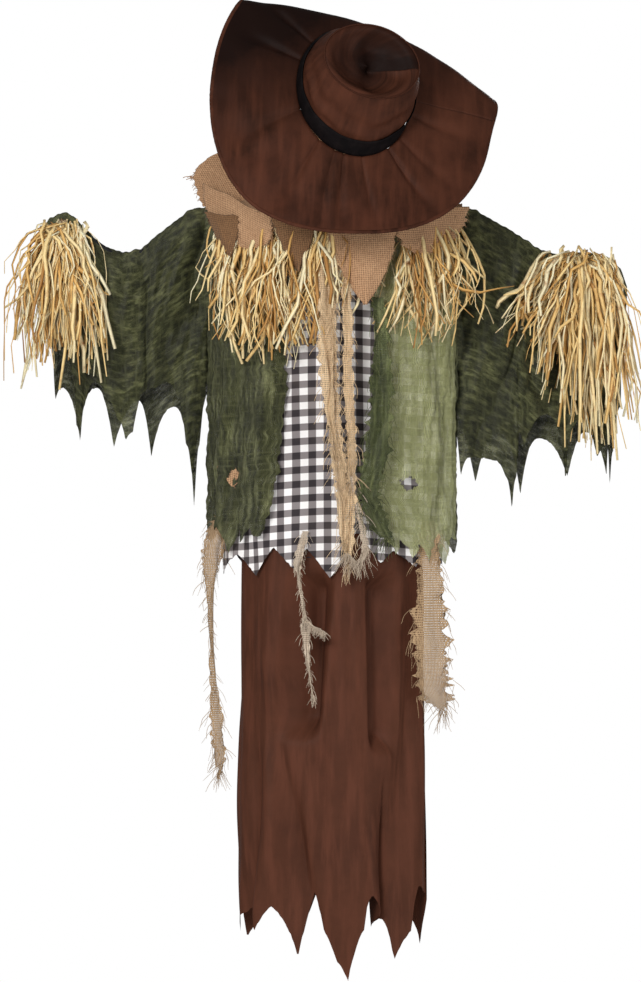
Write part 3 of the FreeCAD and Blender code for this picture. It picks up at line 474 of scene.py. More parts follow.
def gauze_material(name, open_share, dark, mid, light, crinkle_size=(130, 16), ladder_size=(22, 190)):
    """Crinkled open cheesecloth: threads with holes between them, denser in the creases. Its dark colour is
    painted shade in the crinkles' low places, in large soft patches and between the threads.
    """
    recipe = Recipe(name)
    source = recipe.uv()
    height, threads = woven(recipe, source, pitch=0.0019, jitter=0.0011, jitter_scale=45.0)
    crinkle = recipe.noise(recipe.stretched(source, *crinkle_size), 1.0, 5.0, 0.65)
    ladder = recipe.noise(recipe.stretched(source, *ladder_size), 1.0, 4.0, 0.6)
    cloud = recipe.noise(source, 14.0, 4.0)
    # Painted shade: the dark colour falls in the low places of the crinkle, in large soft patches and in the
    # gaps between threads.
    tone = recipe.ramp(crinkle, [(0.34, dark), (0.5, mid), (0.64, light)])
    tone = recipe.fade(ladder, 0.5, 0.7, tone, recipe.blend(0.4, mid, light))
    tone = recipe.fade(cloud, 0.38, 0.62, recipe.blend(0.55, tone, dark), tone)
    recipe.colour(recipe.fade(height, 0.1, 0.7, recipe.blend(0.5, tone, dark), tone))
    weight = recipe.plus(crinkle, recipe.times(cloud, 0.6))
    loose = recipe.between(weight, 0.6, 1.1, open_share - 0.2, open_share + 0.2)
    recipe.alpha(recipe.between(recipe.maths("SUBTRACT", threads, loose), 0.0, 0.16))
    recipe.set(roughness=0.92, specular=0.05, sheen=0.08, sheen_roughness=0.5)
    recipe.bump(recipe.plus(recipe.times(crinkle, 2.2), recipe.plus(height, ladder)), 0.9, 0.0034)
    return recipe.material


def gingham_material():
    """Black and white check: where the two stripes cross it is black, and grey where only one runs."""
    recipe = Recipe("gingham")
    source = recipe.uv()
    stripes = []
    for axis in recipe.split(source):
        wave = recipe.maths("FRACT", recipe.maths("DIVIDE", axis, CHECK_REPEAT))
        from_middle = recipe.maths("ABSOLUTE", recipe.maths("SUBTRACT", wave, 0.5))
        stripes.append(recipe.between(from_middle, 0.235, 0.265))
    ink = recipe.times(recipe.plus(*stripes), 0.5)
    height, _ = woven(recipe, source, pitch=0.0009, jitter=0.0002, jitter_scale=80.0)
    grime = recipe.noise(source, 12.0, 4.0)
    tone = recipe.ramp(ink, [(0.0, srgb(250, 247, 245)), (0.5, srgb(138, 131, 131)), (1.0, srgb(58, 53, 55))])
    tone = recipe.fade(grime, 0.5, 0.9, tone, recipe.blend(0.25, tone, srgb(150, 135, 120)))
    # Painted shade in the gaps between the threads.
    recipe.colour(recipe.fade(height, 0.0, 0.5, recipe.blend(0.25, tone, srgb(40, 38, 40)), tone))
    recipe.set(roughness=0.85, specular=0.08)
    recipe.bump(height, 0.4, 0.0004)
    return recipe.material


def darker(colour, share):
    return tuple(c * share for c in colour[:3]) + (1.0,)


def moulded_material(name, colour, roughness, grain=900.0, depth=0.0002):
    recipe = Recipe(name)
    speck = recipe.noise(recipe.place(), grain, 2.0)
    scuff = recipe.noise(recipe.place(), 30.0, 5.0)
    recipe.colour(recipe.fade(scuff, 0.35, 0.7, darker(colour, 0.72), colour))
    recipe.rough(recipe.between(scuff, least=roughness - 0.08, most=roughness + 0.12))
    recipe.bump(speck, 0.3, depth)
    return recipe.material


def metal_material(name, colour, roughness, metallic=1.0):
    recipe = Recipe(name)
    brush = recipe.noise(recipe.stretched(recipe.place(), 30, 30, 900), 1.0, 3.0)
    stain_and_painted_shade = recipe.noise(recipe.place(), 25.0, 4.0)
    recipe.colour(recipe.fade(stain_and_painted_shade, 0.35, 0.75, darker(colour, 0.6), colour))
    recipe.rough(recipe.between(brush, least=roughness, most=roughness + 0.2))
    recipe.set(metallic=metallic)
    recipe.bump(brush, 0.15, 0.0002)
    return recipe.material


BURLAP = burlap_material("burlap", srgb(206, 164, 126), srgb(140, 100, 70))
# A darker copy of the burlap: painted shade for the petals that lie back under their neighbours.
SHADED_BURLAP = burlap_material("burlap_shade", srgb(142, 106, 74), srgb(92, 64, 44))
STRAW = straw_material()
# The hat's satin has painted shade over one side.
HAT = satin_material("hat_satin", srgb(84, 48, 34), srgb(66, 37, 26), srgb(38, 21, 14), shadow=True)
HAT_BAND = band_material()
GAUZE = gauze_material("green_gauze", 0.28, srgb(42, 44, 25), srgb(92, 94, 58), srgb(156, 158, 112))
SHEER_GAUZE = gauze_material("green_gauze_sheer", 0.62,
                             srgb(154, 156, 104), srgb(204, 206, 148), srgb(246, 248, 196))
SLEEVE_GAUZE = gauze_material("green_gauze_sleeve", 0.16,
                              srgb(36, 38, 20), srgb(86, 88, 54), srgb(148, 150, 100), (40, 110), (150, 30))
EDGE_GAUZE = gauze_material("green_gauze_edge", 0.3,
                            srgb(58, 64, 36), srgb(108, 116, 72), srgb(160, 166, 112))
GINGHAM = gingham_material()
GOWN = satin_material("gown_satin", srgb(90, 53, 39), srgb(78, 46, 33), srgb(64, 37, 27), rubbed=1.5)
RAFFIA = burlap_material("raffia_cloth", srgb(194, 164, 128), srgb(140, 110, 80), 0.0026, 0.42)
# A lighter copy of the raffia for the collar's tails: painted light that makes up for the shade they hang in.
LIT_RAFFIA = burlap_material("raffia_painted_light", srgb(238, 208, 168), srgb(188, 158, 120), 0.0026, 0.34)
GREY_RAFFIA = burlap_material("raffia_grey", srgb(222, 204, 182), srgb(172, 154, 134), 0.0028, 0.46)


# ---- Head and hat ---------------------------------------------------------------------------

CROWN_HALF = (91.0, 109.0)
CROWN_TOP_HALF = (79.0, 60.0)
CROWN_HEIGHT = 90.0

# The share of the crown's profile at which its wall ends and the dent in its top begins.
CROWN_RIDGE = 0.6

# The bulges of the brim's edge and the creases across it are each (degrees round it, depth, width), with
# creases counted downwards.
BRIM_RADIUS = 236
BRIM_BULGES = ((232, 13, 26), (8, 12, 9), (368, 12, 9), (168, -15, 30))
BRIM_CREASES = ((205, 5, 5), (238, 6, 3.2), (254, 4, 2.6), (262, 5, 2.4), (277, 3, 2.2), (303, 6, 3.0),
                (318, 4, 4), (345, 5, 5), (152, 6, 5), (131, 5, 4))

# Behind a line across it, the brim is rolled over and hangs down.
FOLD_OUT = Vector((0.25, 0.968, 0.0))
FOLD_TURN = math.radians(78)
FOLD_ROUND = 14.0


def brim_reach(turn):
    """Distance from the crown's centre to the brim's edge, before the back is folded."""
    degrees = math.degrees(turn)
    bulges = sum(depth * bell(degrees, centre, width) for centre, depth, width in BRIM_BULGES)
    return BRIM_RADIUS + bulges + 1.5 * math.sin(5 * turn)


def brim_drop(turn, share, spread):
    """How far the brim has fallen at spread from the crown: its slope, its waves and its creases."""
    waves = 9.0 * share ** 2 * math.sin(2 * turn + 0.6) + 5.0 * share * math.sin(3 * turn + 2.1)
    drop = 0.16 * spread + waves
    for degrees, depth, width in BRIM_CREASES:
        crease = bell(math.degrees(turn), degrees + 4 * share, width * (0.5 + share * 0.6))
        drop += depth * crease * math.sin(math.pi * clamp(0.12 + share * 0.95)) ** 0.7
    return drop


def rolled_over(beyond):
    """How far out and down cloth reaches that goes on beyond the line where the brim is folded."""
    turned = min(beyond / FOLD_ROUND, FOLD_TURN)
    straight = beyond - FOLD_ROUND * turned
    advance = FOLD_ROUND * math.sin(turned) + straight * math.cos(turned)
    fall = FOLD_ROUND * (1 - math.cos(turned)) + straight * math.sin(turned)
    return advance, fall


def brim_place(turn, share):
    """A point of the brim in the head's frame. share runs from 0 at the crown to 1 at the edge."""
    out = heading(turn)
    foot = Vector((CROWN_HALF[0] * out.x, CROWN_HALF[1] * out.y, 0)).length
    edge = brim_reach(turn)
    place = out * mix(foot, edge, share)
    drop = brim_drop(turn, share, share * (edge - foot))
    drop += 2.5 * wobble(place.x / 40, place.y / 40, 3) * smooth(share * 3)
    across = place.x * FOLD_OUT.y - place.y * FOLD_OUT.x
    fold_line = 96 + 20 * (1 - ((across - 15) / 175) ** 2)
    beyond = place.dot(FOLD_OUT) - fold_line
    if beyond > 0:
        advance, fall = rolled_over(beyond)
        place += FOLD_OUT * (advance - beyond)
        drop += fall
    return CROWN_FOOT + place - Vector((0, 0, drop))


def in_head(point):
    """A point of the head's own frame, in the frame of the whole figure."""
    return HEAD_FRAME @ point


def make_brim():
    turns, steps = 360, 30

    def spot(r, c):
        place = brim_place(math.tau * c / turns, r / steps)
        flat = place - CROWN_FOOT
        return in_head(place), (flat.x, flat.y - flat.z * 0.5)

    brim = cloth("hat_brim_cloth", steps, turns, spot, HAT, "head", ("hat_brim", "brim_wire"))
    thicken(brim, 1.8)
    make_edge_binding(turns)
    make_brim_stitches()


def make_edge_binding(turns):
    """Rolled binding over the brim's edge."""
    binding_r, around, aside = 2.6, 8, 0.01

    def spot(k, c):
        roll = math.tau * k / around
        turn = math.tau * c / turns
        edge = brim_place(turn, 1.0)
        inward = (brim_place(turn, 0.97) - edge).normalized()
        side = (brim_place(turn + aside, 1.0) - brim_place(turn - aside, 1.0)).normalized()
        ripple = 1 + 0.12 * wobble(c * 0.9, k, 5)
        offset = (inward * math.cos(roll) * 1.3 + inward.cross(side) * math.sin(roll)) * binding_r * ripple
        return in_head(edge + offset + inward * 1.5), (1480.0 * c / turns, k * 2.0)

    cloth("brim_binding", around, turns, spot, HAT, "head")


def make_brim_stitches():
    """Two lines of stitches inside the brim's binding."""
    count, above = 300, Vector((0, 0, 0.5))
    stitches = []
    for share in (0.955, 0.925):
        for i in range(count):
            turn = math.tau * i / count
            ends = [in_head(brim_place(turn + step, share) + above) for step in (0, 0.0075, 0.015)]
            stitches.append(Strand(ends, width=0.9, thick=0.5, twist=0.0, shade=0.2))
    make_strands("brim_stitches", stitches, HAT_BAND, "head")


def crown_place(turn, share):
    """A point of the crown. share runs from 0 at the foot, to CROWN_RIDGE at the ridge, to 1 in the dent."""
    out = heading(turn)
    climb = clamp(share / CROWN_RIDGE)
    half_x = mix(CROWN_HALF[0], CROWN_TOP_HALF[0], climb)
    half_y = mix(CROWN_HALF[1], CROWN_TOP_HALF[1], climb ** 0.85)
    bulge = 5.0 * math.sin(math.pi * climb)
    place = Vector(((half_x + bulge) * out.x, (half_y + bulge) * out.y, 0))
    lean = Vector((2, 12, 0)) * climb ** 2
    height = (CROWN_HEIGHT + 5 * out.y - 6 * out.x) * climb
    wrinkle = math.sin(climb * 19 + 2.2 * wobble(out.x * 2.2, out.y * 2.2, 8) + 1.5 * out.x)
    ruck = 3.4 * wrinkle * bell(climb, 0.5, 0.3) * (0.6 + 0.5 * wobble(1.6 * out.x, 1.6 * out.y, 9))
    place += out * ruck
    if share > CROWN_RIDGE:
        inward = (share - CROWN_RIDGE) / (1 - CROWN_RIDGE)
        place *= 1 - inward
        dent = 20 * smooth(inward * 1.6) + 5 * wobble(place.x / 26, place.y / 26, 11) * smooth(inward * 2)
        pinch = 9 * bell(place.x - 6, 0, 16) * smooth(inward * 2.2)
        height -= dent + pinch - 3 * math.sin(math.pi * clamp(inward * 4))
    return CROWN_FOOT + place + lean + Vector((0, 0, height))


def make_crown():
    turns, steps = 180, 60

    def spot(r, c):
        share = min(r / steps, 0.999)
        taper = 1 if share < CROWN_RIDGE else 1 - (share - CROWN_RIDGE) * 2
        return in_head(crown_place(math.tau * c / turns, share)), (600 * c / turns * taper, 230 * share)

    thicken(cloth("hat_crown_cloth", steps, turns, spot, HAT, "head", ("hat_crown",)), 1.6)
    above = Vector((0, 0, 0.8))
    piping = []
    for c in range(turns):
        ends = [crown_place(math.tau * (c + step) / turns, CROWN_RIDGE) + above for step in (0, 0.55, 1.1)]
        piping.append(Strand([in_head(end) for end in ends], width=3.2, thick=2.6, twist=0.0, shade=0.5))
    make_strands("crown_piping", piping, HAT, "head")


def make_band():
    turns, steps, height = 180, 6, 27.0

    def spot(r, c):
        turn = math.tau * c / turns
        climb = 0.02 + (height / CROWN_HEIGHT) * r / steps
        proud = 1.6 + 0.8 * math.sin(math.pi * r / steps) + 0.6 * wobble(c / 9, r, 2)
        place = crown_place(turn, climb * CROWN_RIDGE) + heading(turn) * proud
        return in_head(place), (640 * c / turns, height * r / steps)

    band = cloth("hat_band_ribbon", steps, turns, spot, HAT_BAND, "head", ("hat_band",))
    thicken(band, 1.0, 1)


# ---- Clothes on the torso -------------------------------------------------------------------

def oval(half, turn):
    """A point of a layer's oval. A turn of 0 is right, a half is left and three quarters is the front."""
    angle = math.tau * turn
    return Vector((half[0] * math.cos(angle), TORSO_Y + half[1] * math.sin(angle), 0))


def outward(edge):
    """The level direction in which a point of an oval faces."""
    return (edge - Vector((0, TORSO_Y, 0))).normalized()


def shoulder_line(x):
    """Height of the top of the shoulders, which slopes down from the neck."""
    return -34 - 14 * smooth(abs(x) / 200)


def draped(half, turn, drop, crest=60.0):
    """A point on cloth that starts along the shoulders and falls to its layer's oval."""
    edge = oval(half, turn)
    neck = smooth((80 - abs(edge.x)) / 40)
    ridge_y = mix(-14.0, TORSO_Y + 0.62 * (edge.y - TORSO_Y), neck)
    ridge = Vector((edge.x * 0.97, ridge_y, 0))
    ease = math.sin(0.5 * math.pi * clamp(drop / crest))
    place = ridge.lerp(edge, ease)
    place.z = shoulder_line(edge.x) - drop + 6 * (1 - neck) * smooth(1 - drop / 30)
    return place


def folds(turn, drop, count, depth, seed):
    """Soft vertical folds: in and out movement of hanging cloth, which drifts a little as it falls."""
    drift = 0.05 * wobble(turn * 6, drop / 260, seed)
    phase = math.tau * (turn + drift)
    wave = math.sin(count * phase + seed) + 0.6 * math.sin((count * 1.7) * phase + 2 * seed)
    return depth * wave * (0.65 + 0.35 * wobble(turn * 9, drop / 200, seed + 1))


def oval_turn(half, x):
    """The turn at which the front of a layer's oval has this x."""
    return 1 - math.acos(clamp(x / half[0], -1, 1)) / math.tau


def torso_sheet(name, half, start, end, hem, shape, material, hides, columns=120, rows=180,
                flat_width=None, holes=()):
    """Cloth hung from the shoulders. start and end give its side edges' turns at each drop.

    hem(turn, x) is the height of its lower edge, and shape(turn, drop) how far it stands off its oval."""
    radius = (half[0] + half[1]) / 2
    width = flat_width or 1.1 * (end(0) - start(0)) * math.tau * radius

    def spot(r, c):
        middle = mix(start(0), end(0), c / columns)
        top_x = oval(half, middle).x
        drop = (shoulder_line(top_x) - hem(middle, top_x)) * r / rows
        turn = mix(start(drop), end(drop), c / columns)
        stand = shape(turn, drop) * smooth(drop / 110)
        return draped(half, turn, drop) + outward(oval(half, turn)) * stand, (width * c / columns, -drop)

    def torn(r, c):
        return in_a_hole(spot(r, c)[0], holes)

    sheet = cloth(name, rows, columns, spot, material, "root", hides, torn if holes else None)
    declare_cloth(sheet)


def zigzag(low, high, teeth, seed):
    """A ragged hem: uneven points between two heights, as a function of the turn."""
    rng = random.Random(seed)
    points = []
    for i in range(teeth):
        jitter = rng.uniform(-0.25, 0.25)
        points.append(((i + 0.5 * jitter) / teeth, high + rng.uniform(-0.2, 0.2) * (high - low)))
        points.append(((i + 0.5 + jitter) / teeth, mix(low, high, rng.uniform(0, 0.45))))
    points.append((1.0, high))
    return lambda turn: along(points, turn % 1.0)


def front_or_back(front_points, back, sharp=1.0):
    """A hem that follows points of (x, height) at the front and a zigzag behind."""
    def hem(turn, x):
        side = turn % 1.0
        if side > 0.5:
            return scalloped(front_points, x, sharp) + 2.5 * wobble(x / 3, 0, 4)
        return back(side) + 2.5 * wobble(side * 300, 0, 4)
    return hem


SHIRT_HEM = [(-174, -612), (-171, -619), (-149, -592), (-122, -626), (-91, -581), (-56, -620), (-41, -581),
             (-3, -630), (26, -590), (55, -576), (77, -606), (98, -586), (128, -612), (150, -590),
             (174, -610)]


def make_shirt():
    torso_sheet("gingham_cloth", SHIRT_HALF, lambda drop: 0.0, lambda drop: 1.0,
                front_or_back(SHIRT_HEM, zigzag(-628, -588, 16, 5)),
                lambda turn, drop: folds(turn, drop, 9, 3.6, 1.7), GINGHAM, ("gingham_shirt",),
                columns=300, rows=90, flat_width=960)


JACKET_LEFT_HEM = [(-187, -556), (-180, -572), (-160, -548), (-131, -590), (-122, -548), (-104, -572),
                   (-92, -548), (-74, -560)]
JACKET_RIGHT_HEM = [(36, -575), (52, -552), (66, -590), (84, -566), (99, -596), (112, -574), (138, -614),
                    (150, -582), (168, -608), (178, -560), (187, -572)]
JACKET_LEFT_EDGE = [(0, -60), (280, -72), (440, -82), (500, -96), (540, -112)]
JACKET_RIGHT_EDGE = [(0, 52), (260, 62), (430, 55), (462, 38), (500, 62), (540, 84)]
ROLLED_EDGE = [(72, -140, -190), (78, -146, -280), (76, -149, -360), (70, -151, -430), (57, -154, -492),
               (64, -152, -524), (84, -144, -566)]


def jacket_stand(turn, drop):
    """How far the jacket stands off its oval: folds, crumples and a gathered waist."""
    crumple = 4.2 * wobble(turn * 80, drop / 45, 2) + 2.4 * wobble(turn * 40, drop / 8, 12)
    waist = 9 * bell(drop, 470, 60) * max(0.0, wobble(turn * 30, drop / 50, 7))
    return folds(turn, drop, 13, 5.6, 4.1) + crumple + 7 + waist


def jacket_edge(line, seed):
    """An uneven front edge along points of (drop, x), as a turn for each drop."""
    def edge(drop):
        x = along(line, drop) + 4 * wobble(drop / 9, 0, seed) + 3 * wobble(drop / 30, 4, seed)
        return oval_turn(JACKET_HALF, x)
    return edge


def make_jacket():
    back = zigzag(-596, -540, 15, 9)
    left_edge, right_edge = jacket_edge(JACKET_LEFT_EDGE, 3), jacket_edge(JACKET_RIGHT_EDGE, 5)
    panels = (("left", "jacket_left_front", lambda drop: 0.5, left_edge, JACKET_LEFT_HEM, GAUZE, 130,
               [(-155, -465, 9, 8)]),
              ("right", "jacket_right_front", right_edge, lambda drop: 1.0, JACKET_RIGHT_HEM, SHEER_GAUZE,
               130, [(122, -479, 15, 9)]),
              ("back", "jacket_back", lambda drop: 0.0, lambda drop: 0.5, JACKET_LEFT_HEM, GAUZE, 230, ()))
    for name, node, start, end, hem, material, columns, holes in panels:
        torso_sheet("jacket_" + name + "_cloth", JACKET_HALF, start, end, front_or_back(hem, back),
                    jacket_stand, material, (node,), columns=columns, holes=holes)
    strip("jacket_rolled_edge", ROLLED_EDGE,
          [(0, 18), (0.3, 34), (0.5, 40), (0.7, 34), (0.8, 26), (0.88, 34), (1, 20)],
          seed=71, crumple=7, material=EDGE_GAUZE)
    leaf("patch_in_hole", (-176, -80, -446), (-136, -96, -446), (-156, -89, -486), 3.0, BURLAP,
         seed=72, bulge=1)


GOWN_TOP = -560.0
GOWN_HEM = [(-142, -1150), (-140, -1162), (-119, -1127), (-108, -1185), (-90, -1146), (-69, -1185),
            (-55, -1226), (-46, -1185), (-38, -1138), (-30, -1122), (-22, -1150), (-13, -1185), (8, -1232),
            (25, -1261), (30, -1232), (44, -1180), (47, -1138), (53, -1127), (60, -1138), (83, -1178),
            (90, -1164), (107, -1229), (122, -1185), (126, -1140), (131, -1115), (142, -1128)]
POCKET_TOP = -612.0


def pocket(x, z, centre, width, foot, depth):
    """How far a hollow between two gathers of the gown sinks in. It ends in a round at its foot."""
    across = smooth(1.5 - abs(x - centre) / width)
    return depth * across * smooth((POCKET_TOP - z) / 40) * smooth((z - foot) / 46)


def gown_stand(turn, x, z):
    """How far the gown stands off its oval: pleats, and a fold, hollows, a ridge and a slit in front."""
    fall = (GOWN_TOP - z) / 600
    stand = folds(turn, GOWN_TOP - z, 6, 4.0 + 9.0 * smooth(fall), 2.6) + 2.5 * wobble(turn * 40, z / 160, 9)
    if turn > 0.5:
        stand -= 12 * bell(x + 30 - 130 * (fall - 0.62), -52, 14) * smooth(fall * 2 - 0.5)
        stand -= pocket(x, z, -56 + 0.1 * (z + 873), 27, -890, 40) + pocket(x, z, 79, 20, -912, 36)
        stand += 9 * bell(x, 34, 15) * smooth(1.4 - 2 * fall)
        stand -= 26 * bell(x, 80 + 3 * fall, 3 + 8 * smooth(fall - 0.5)) * smooth((fall - 0.6) * 3)
    return stand + 3 * smooth(fall)


def make_gown():
    rows, columns, flat_width = 90, 320, 1020
    hem = front_or_back(GOWN_HEM, zigzag(-1225, -1125, 11, 3), 1.3)

    def spot(r, c):
        turn = c / columns
        edge = oval(GOWN_HALF, turn)
        z = mix(GOWN_TOP, hem(turn, edge.x), r / rows)
        place = edge + outward(edge) * gown_stand(turn, edge.x, z)
        place.z = z
        return place, (flat_width * turn, z)

    gown = cloth("gown_cloth", rows, columns, spot, GOWN, "root", ("gown",))
    declare_cloth(gown)


# ---- Sleeves --------------------------------------------------------------------------------

SLEEVE_LINES = {
    "left": {
        "side": -1,
        "ridge": [(150, -44), (186, -42), (223, -48), (262, -78), (301, -110), (330, -116), (356, -108),
                  (385, -84), (408, -58), (426, -52), (446, -64), (462, -84)],
        "front": [(150, -300), (186, -300), (212, -420), (221, -523), (233, -420), (246, -345), (258, -322),
                  (276, -330), (296, -336), (318, -400), (329, -414), (340, -380), (352, -350), (372, -322),
                  (388, -360), (396, -418), (404, -390), (412, -300), (430, -240), (446, -190), (462, -160)],
        "back": [(150, -330), (186, -330), (225, -470), (250, -360), (285, -440), (310, -350), (345, -425),
                 (370, -330), (400, -400), (430, -330), (448, -350), (462, -240)],
    },
    "right": {
        "side": 1,
        "ridge": [(150, -44), (186, -42), (224, -48), (262, -70), (300, -92), (330, -112), (362, -122),
                  (390, -116), (410, -116), (436, -124), (456, -142), (466, -170)],
        "front": [(150, -380), (186, -380), (205, -470), (222, -440), (256, -445), (272, -470), (283, -524),
                  (292, -470), (298, -400), (306, -432), (316, -400), (340, -372), (356, -400), (366, -484),
                  (374, -400), (392, -380), (420, -440), (438, -420), (447, -490), (454, -430), (466, -360)],
        "back": [(150, -360), (186, -360), (230, -480), (262, -400), (300, -500), (330, -410), (370, -470),
                 (400, -400), (440, -470), (466, -330)],
    },
}


def sleeve_ripple(x, drop, side):
    """In and out movement of a sleeve's hanging cloth, in folds that drift towards -X as they fall."""
    slant = x + drop * 0.22 * side
    ripple = 21 * abs(math.sin(slant / 21 + 2.4 * wobble(x / 60, drop / 90, 3))) - 11
    return ripple + 7.0 * wobble(slant / 13, drop / 45, 5) + 3.2 * wobble(x / 20, drop / 6, 6)


def make_sleeve(name, shoulder):
    """Cloth draped over the arm's rod, from the front hem up over the rod and down to the back hem."""
    lines = SLEEVE_LINES[name]
    side, ridge = lines["side"], lines["ridge"]
    columns, half_rows = 210, 80
    near, far = ridge[0][0], ridge[-1][0]

    def spot(r, c):
        step = r - half_rows
        facing, hem = (-1, lines["front"]) if step < 0 else (1, lines["back"])
        x = mix(near, far, c / columns)
        ridge_z = along(ridge, x)
        length = ridge_z - scalloped(hem, x) + 2 * wobble(x / 3, 0, 8)
        drop = abs(step) / half_rows * length
        hung = smooth(drop / 80)
        spread = 17 * math.sin(0.5 * math.pi * clamp(drop / 34)) + 5 * smooth(drop / 200)
        y = shoulder.y + (spread + sleeve_ripple(x, drop, side) * hung) * facing
        end_pull = 10 * smooth((x - far + 40) / 40) * smooth(drop / 120)
        slump = 7 * smooth(drop / 160) * wobble(x / 40, 2, 7)
        z = ridge_z - drop + 3.2 * wobble(x / 9, step / 11, 2) * (1 - hung)
        return Vector((side * (x - end_pull + slump), y, z)), (x * 1.25, facing * drop)

    sleeve = cloth(name + "_sleeve_cloth", 2 * half_rows, columns, spot, SLEEVE_GAUZE, None,
                   (name + "_sleeve",))
    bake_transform(sleeve)
    declare_cloth(sleeve)


# ---- Straw ----------------------------------------------------------------------------------

LEFT_HAND_REACH = [(-500, -180), (-492, -250), (-486, -345), (-470, -300), (-440, -280), (-410, -270),
                   (-384, -330), (-368, -270)]
RIGHT_HAND_REACH = [(280, -200), (300, -262), (330, -300), (362, -380), (400, -420), (430, -455), (458, -420),
                    (474, -360)]
LEFT_TUFT_REACH = [(-196, -210), (-170, -250), (-120, -285), (-60, -280), (-20, -245), (8, -215)]
RIGHT_TUFT_REACH = [(84, -236), (112, -272), (150, -262), (190, -240), (226, -200)]

# No straw leaves this range of x, because the visual model may pass the CAD's box only a little.
STRAW_LIMITS = (-516.0, 500.0)


def straw_line(rng, start, over, end, kink, steps=7):
    """A limp straw from start, over a high point, to its end, with the kinks of dried raffia."""
    points = []
    sway = Vector((0, 0, 0))
    for step in range(steps + 1):
        t = step / steps
        base = start * (1 - t) ** 2 + over * 2 * t * (1 - t) + end * t * t
        sway += Vector((rng.gauss(0, kink), rng.gauss(0, kink * 0.6), rng.gauss(0, kink * 0.5)))
        point = base + sway * math.sqrt(t)
        point.x = clamp(point.x, *STRAW_LIMITS)
        points.append(point)
    return points


def straw(rng, points, width=6.2):
    """A straw along points, with a width, thickness, twist and shade of its own."""
    return Strand(points, rng.uniform(0.45, 1.25) * width, rng.uniform(0.9, 1.6), rng.uniform(-1.6, 1.6),
                  rng.random())


def make_straw_hand(name, wrist, reach, count, seed, spread, overshoot):
    """A sheaf bound at the wrist that spills over it and hangs. reach is the straw ends' line of (x, z)."""
    rng = random.Random(seed)
    strands = []
    low, high = reach[0][0], reach[-1][0]
    for _ in range(count):
        x = rng.uniform(low, high)
        share = rng.choice((1.0, 0.95, 0.85, 0.7, 0.55, 0.4))
        z = mix(wrist.z - 40, along(reach, x), share * rng.uniform(0.82, 1.04))
        start = wrist + Vector((rng.gauss(0, 13) + spread * (x - wrist.x), rng.gauss(0, 9),
                                rng.gauss(-12, 8)))
        end = Vector((mix(start.x, x, 0.55 + 0.45 * share), wrist.y + rng.uniform(-46, 14), z))
        over = Vector((mix(start.x, end.x, rng.uniform(0.3, overshoot)), start.y + rng.uniform(-44, 2),
                       start.z + rng.uniform(-80, 10)))
        strands.append(straw(rng, straw_line(rng, start, over, end, 7.0)))
    make_strands(name + "_straw", strands, STRAW, name + "_arm", (name + "_straw_hand",))
    make_wrist_tie(name, wrist, rng)


def make_wrist_tie(name, wrist, rng):
    """Raffia wound round the sheaf."""
    windings, around, radius, spacing = 5, 12, 13, 2.2
    tie = []
    for winding in range(windings):
        points = []
        for i in range(around + 1):
            angle = math.tau * i / around
            x = winding * spacing - 5 + rng.gauss(0, 0.5)
            points.append(wrist + Vector((x, 8 + radius * math.cos(angle), radius * math.sin(angle) - 8)))
        tie.append(Strand(points, width=2.6, thick=1.8, twist=0.3, shade=0.1))
    make_strands(name + "_wrist_tie", tie, RAFFIA, name + "_arm")


def make_straw_collar(name, roots, reach, count, seed, hides):
    """Straw tucked under the collar that fans down over the chest."""
    rng = random.Random(seed)
    strands = []
    for _ in range(count):
        x = rng.uniform(*roots)
        y = TORSO_Y - rng.uniform(98, 112) * math.sqrt(max(0.1, 1 - (x / 205) ** 2))
        start = Vector((x, y, rng.uniform(-92, -54)))
        end_x = clamp(x + rng.gauss(0, 26), reach[0][0], reach[-1][0])
        share = rng.choice((1.0, 1.0, 0.9, 0.75, 0.55)) * rng.uniform(0.85, 1.05)
        end = Vector((end_x, y - rng.uniform(4, 26), mix(start.z, along(reach, end_x), share)))
        over = start.lerp(end, 0.45) + Vector((rng.gauss(0, 32), -rng.uniform(4, 26), rng.uniform(-10, 16)))
        strands.append(straw(rng, straw_line(rng, start, over, end, 5.5)))
    make_strands(name, strands, STRAW, "root", hides)


def make_stray_straws():
    """Single straws that stick out from the collar towards the hand at the right."""
    rng = random.Random(15)
    paths = [[(186, -128, -168), (206, -128, -178), (232, -120, -182), (258, -104, -176), (286, -84, -171)],
             [(196, -126, -150), (214, -126, -170), (228, -118, -184), (244, -108, -206), (254, -100, -230)],
             [(184, -130, -120), (206, -130, -132), (222, -124, -150), (229, -120, -168)]]
    strands = [straw(rng, [Vector(point) for point in path]) for path in paths]
    make_strands("stray_straws", strands, STRAW, "root")


# ---- Rags: petals, strips and tails ---------------------------------------------------------

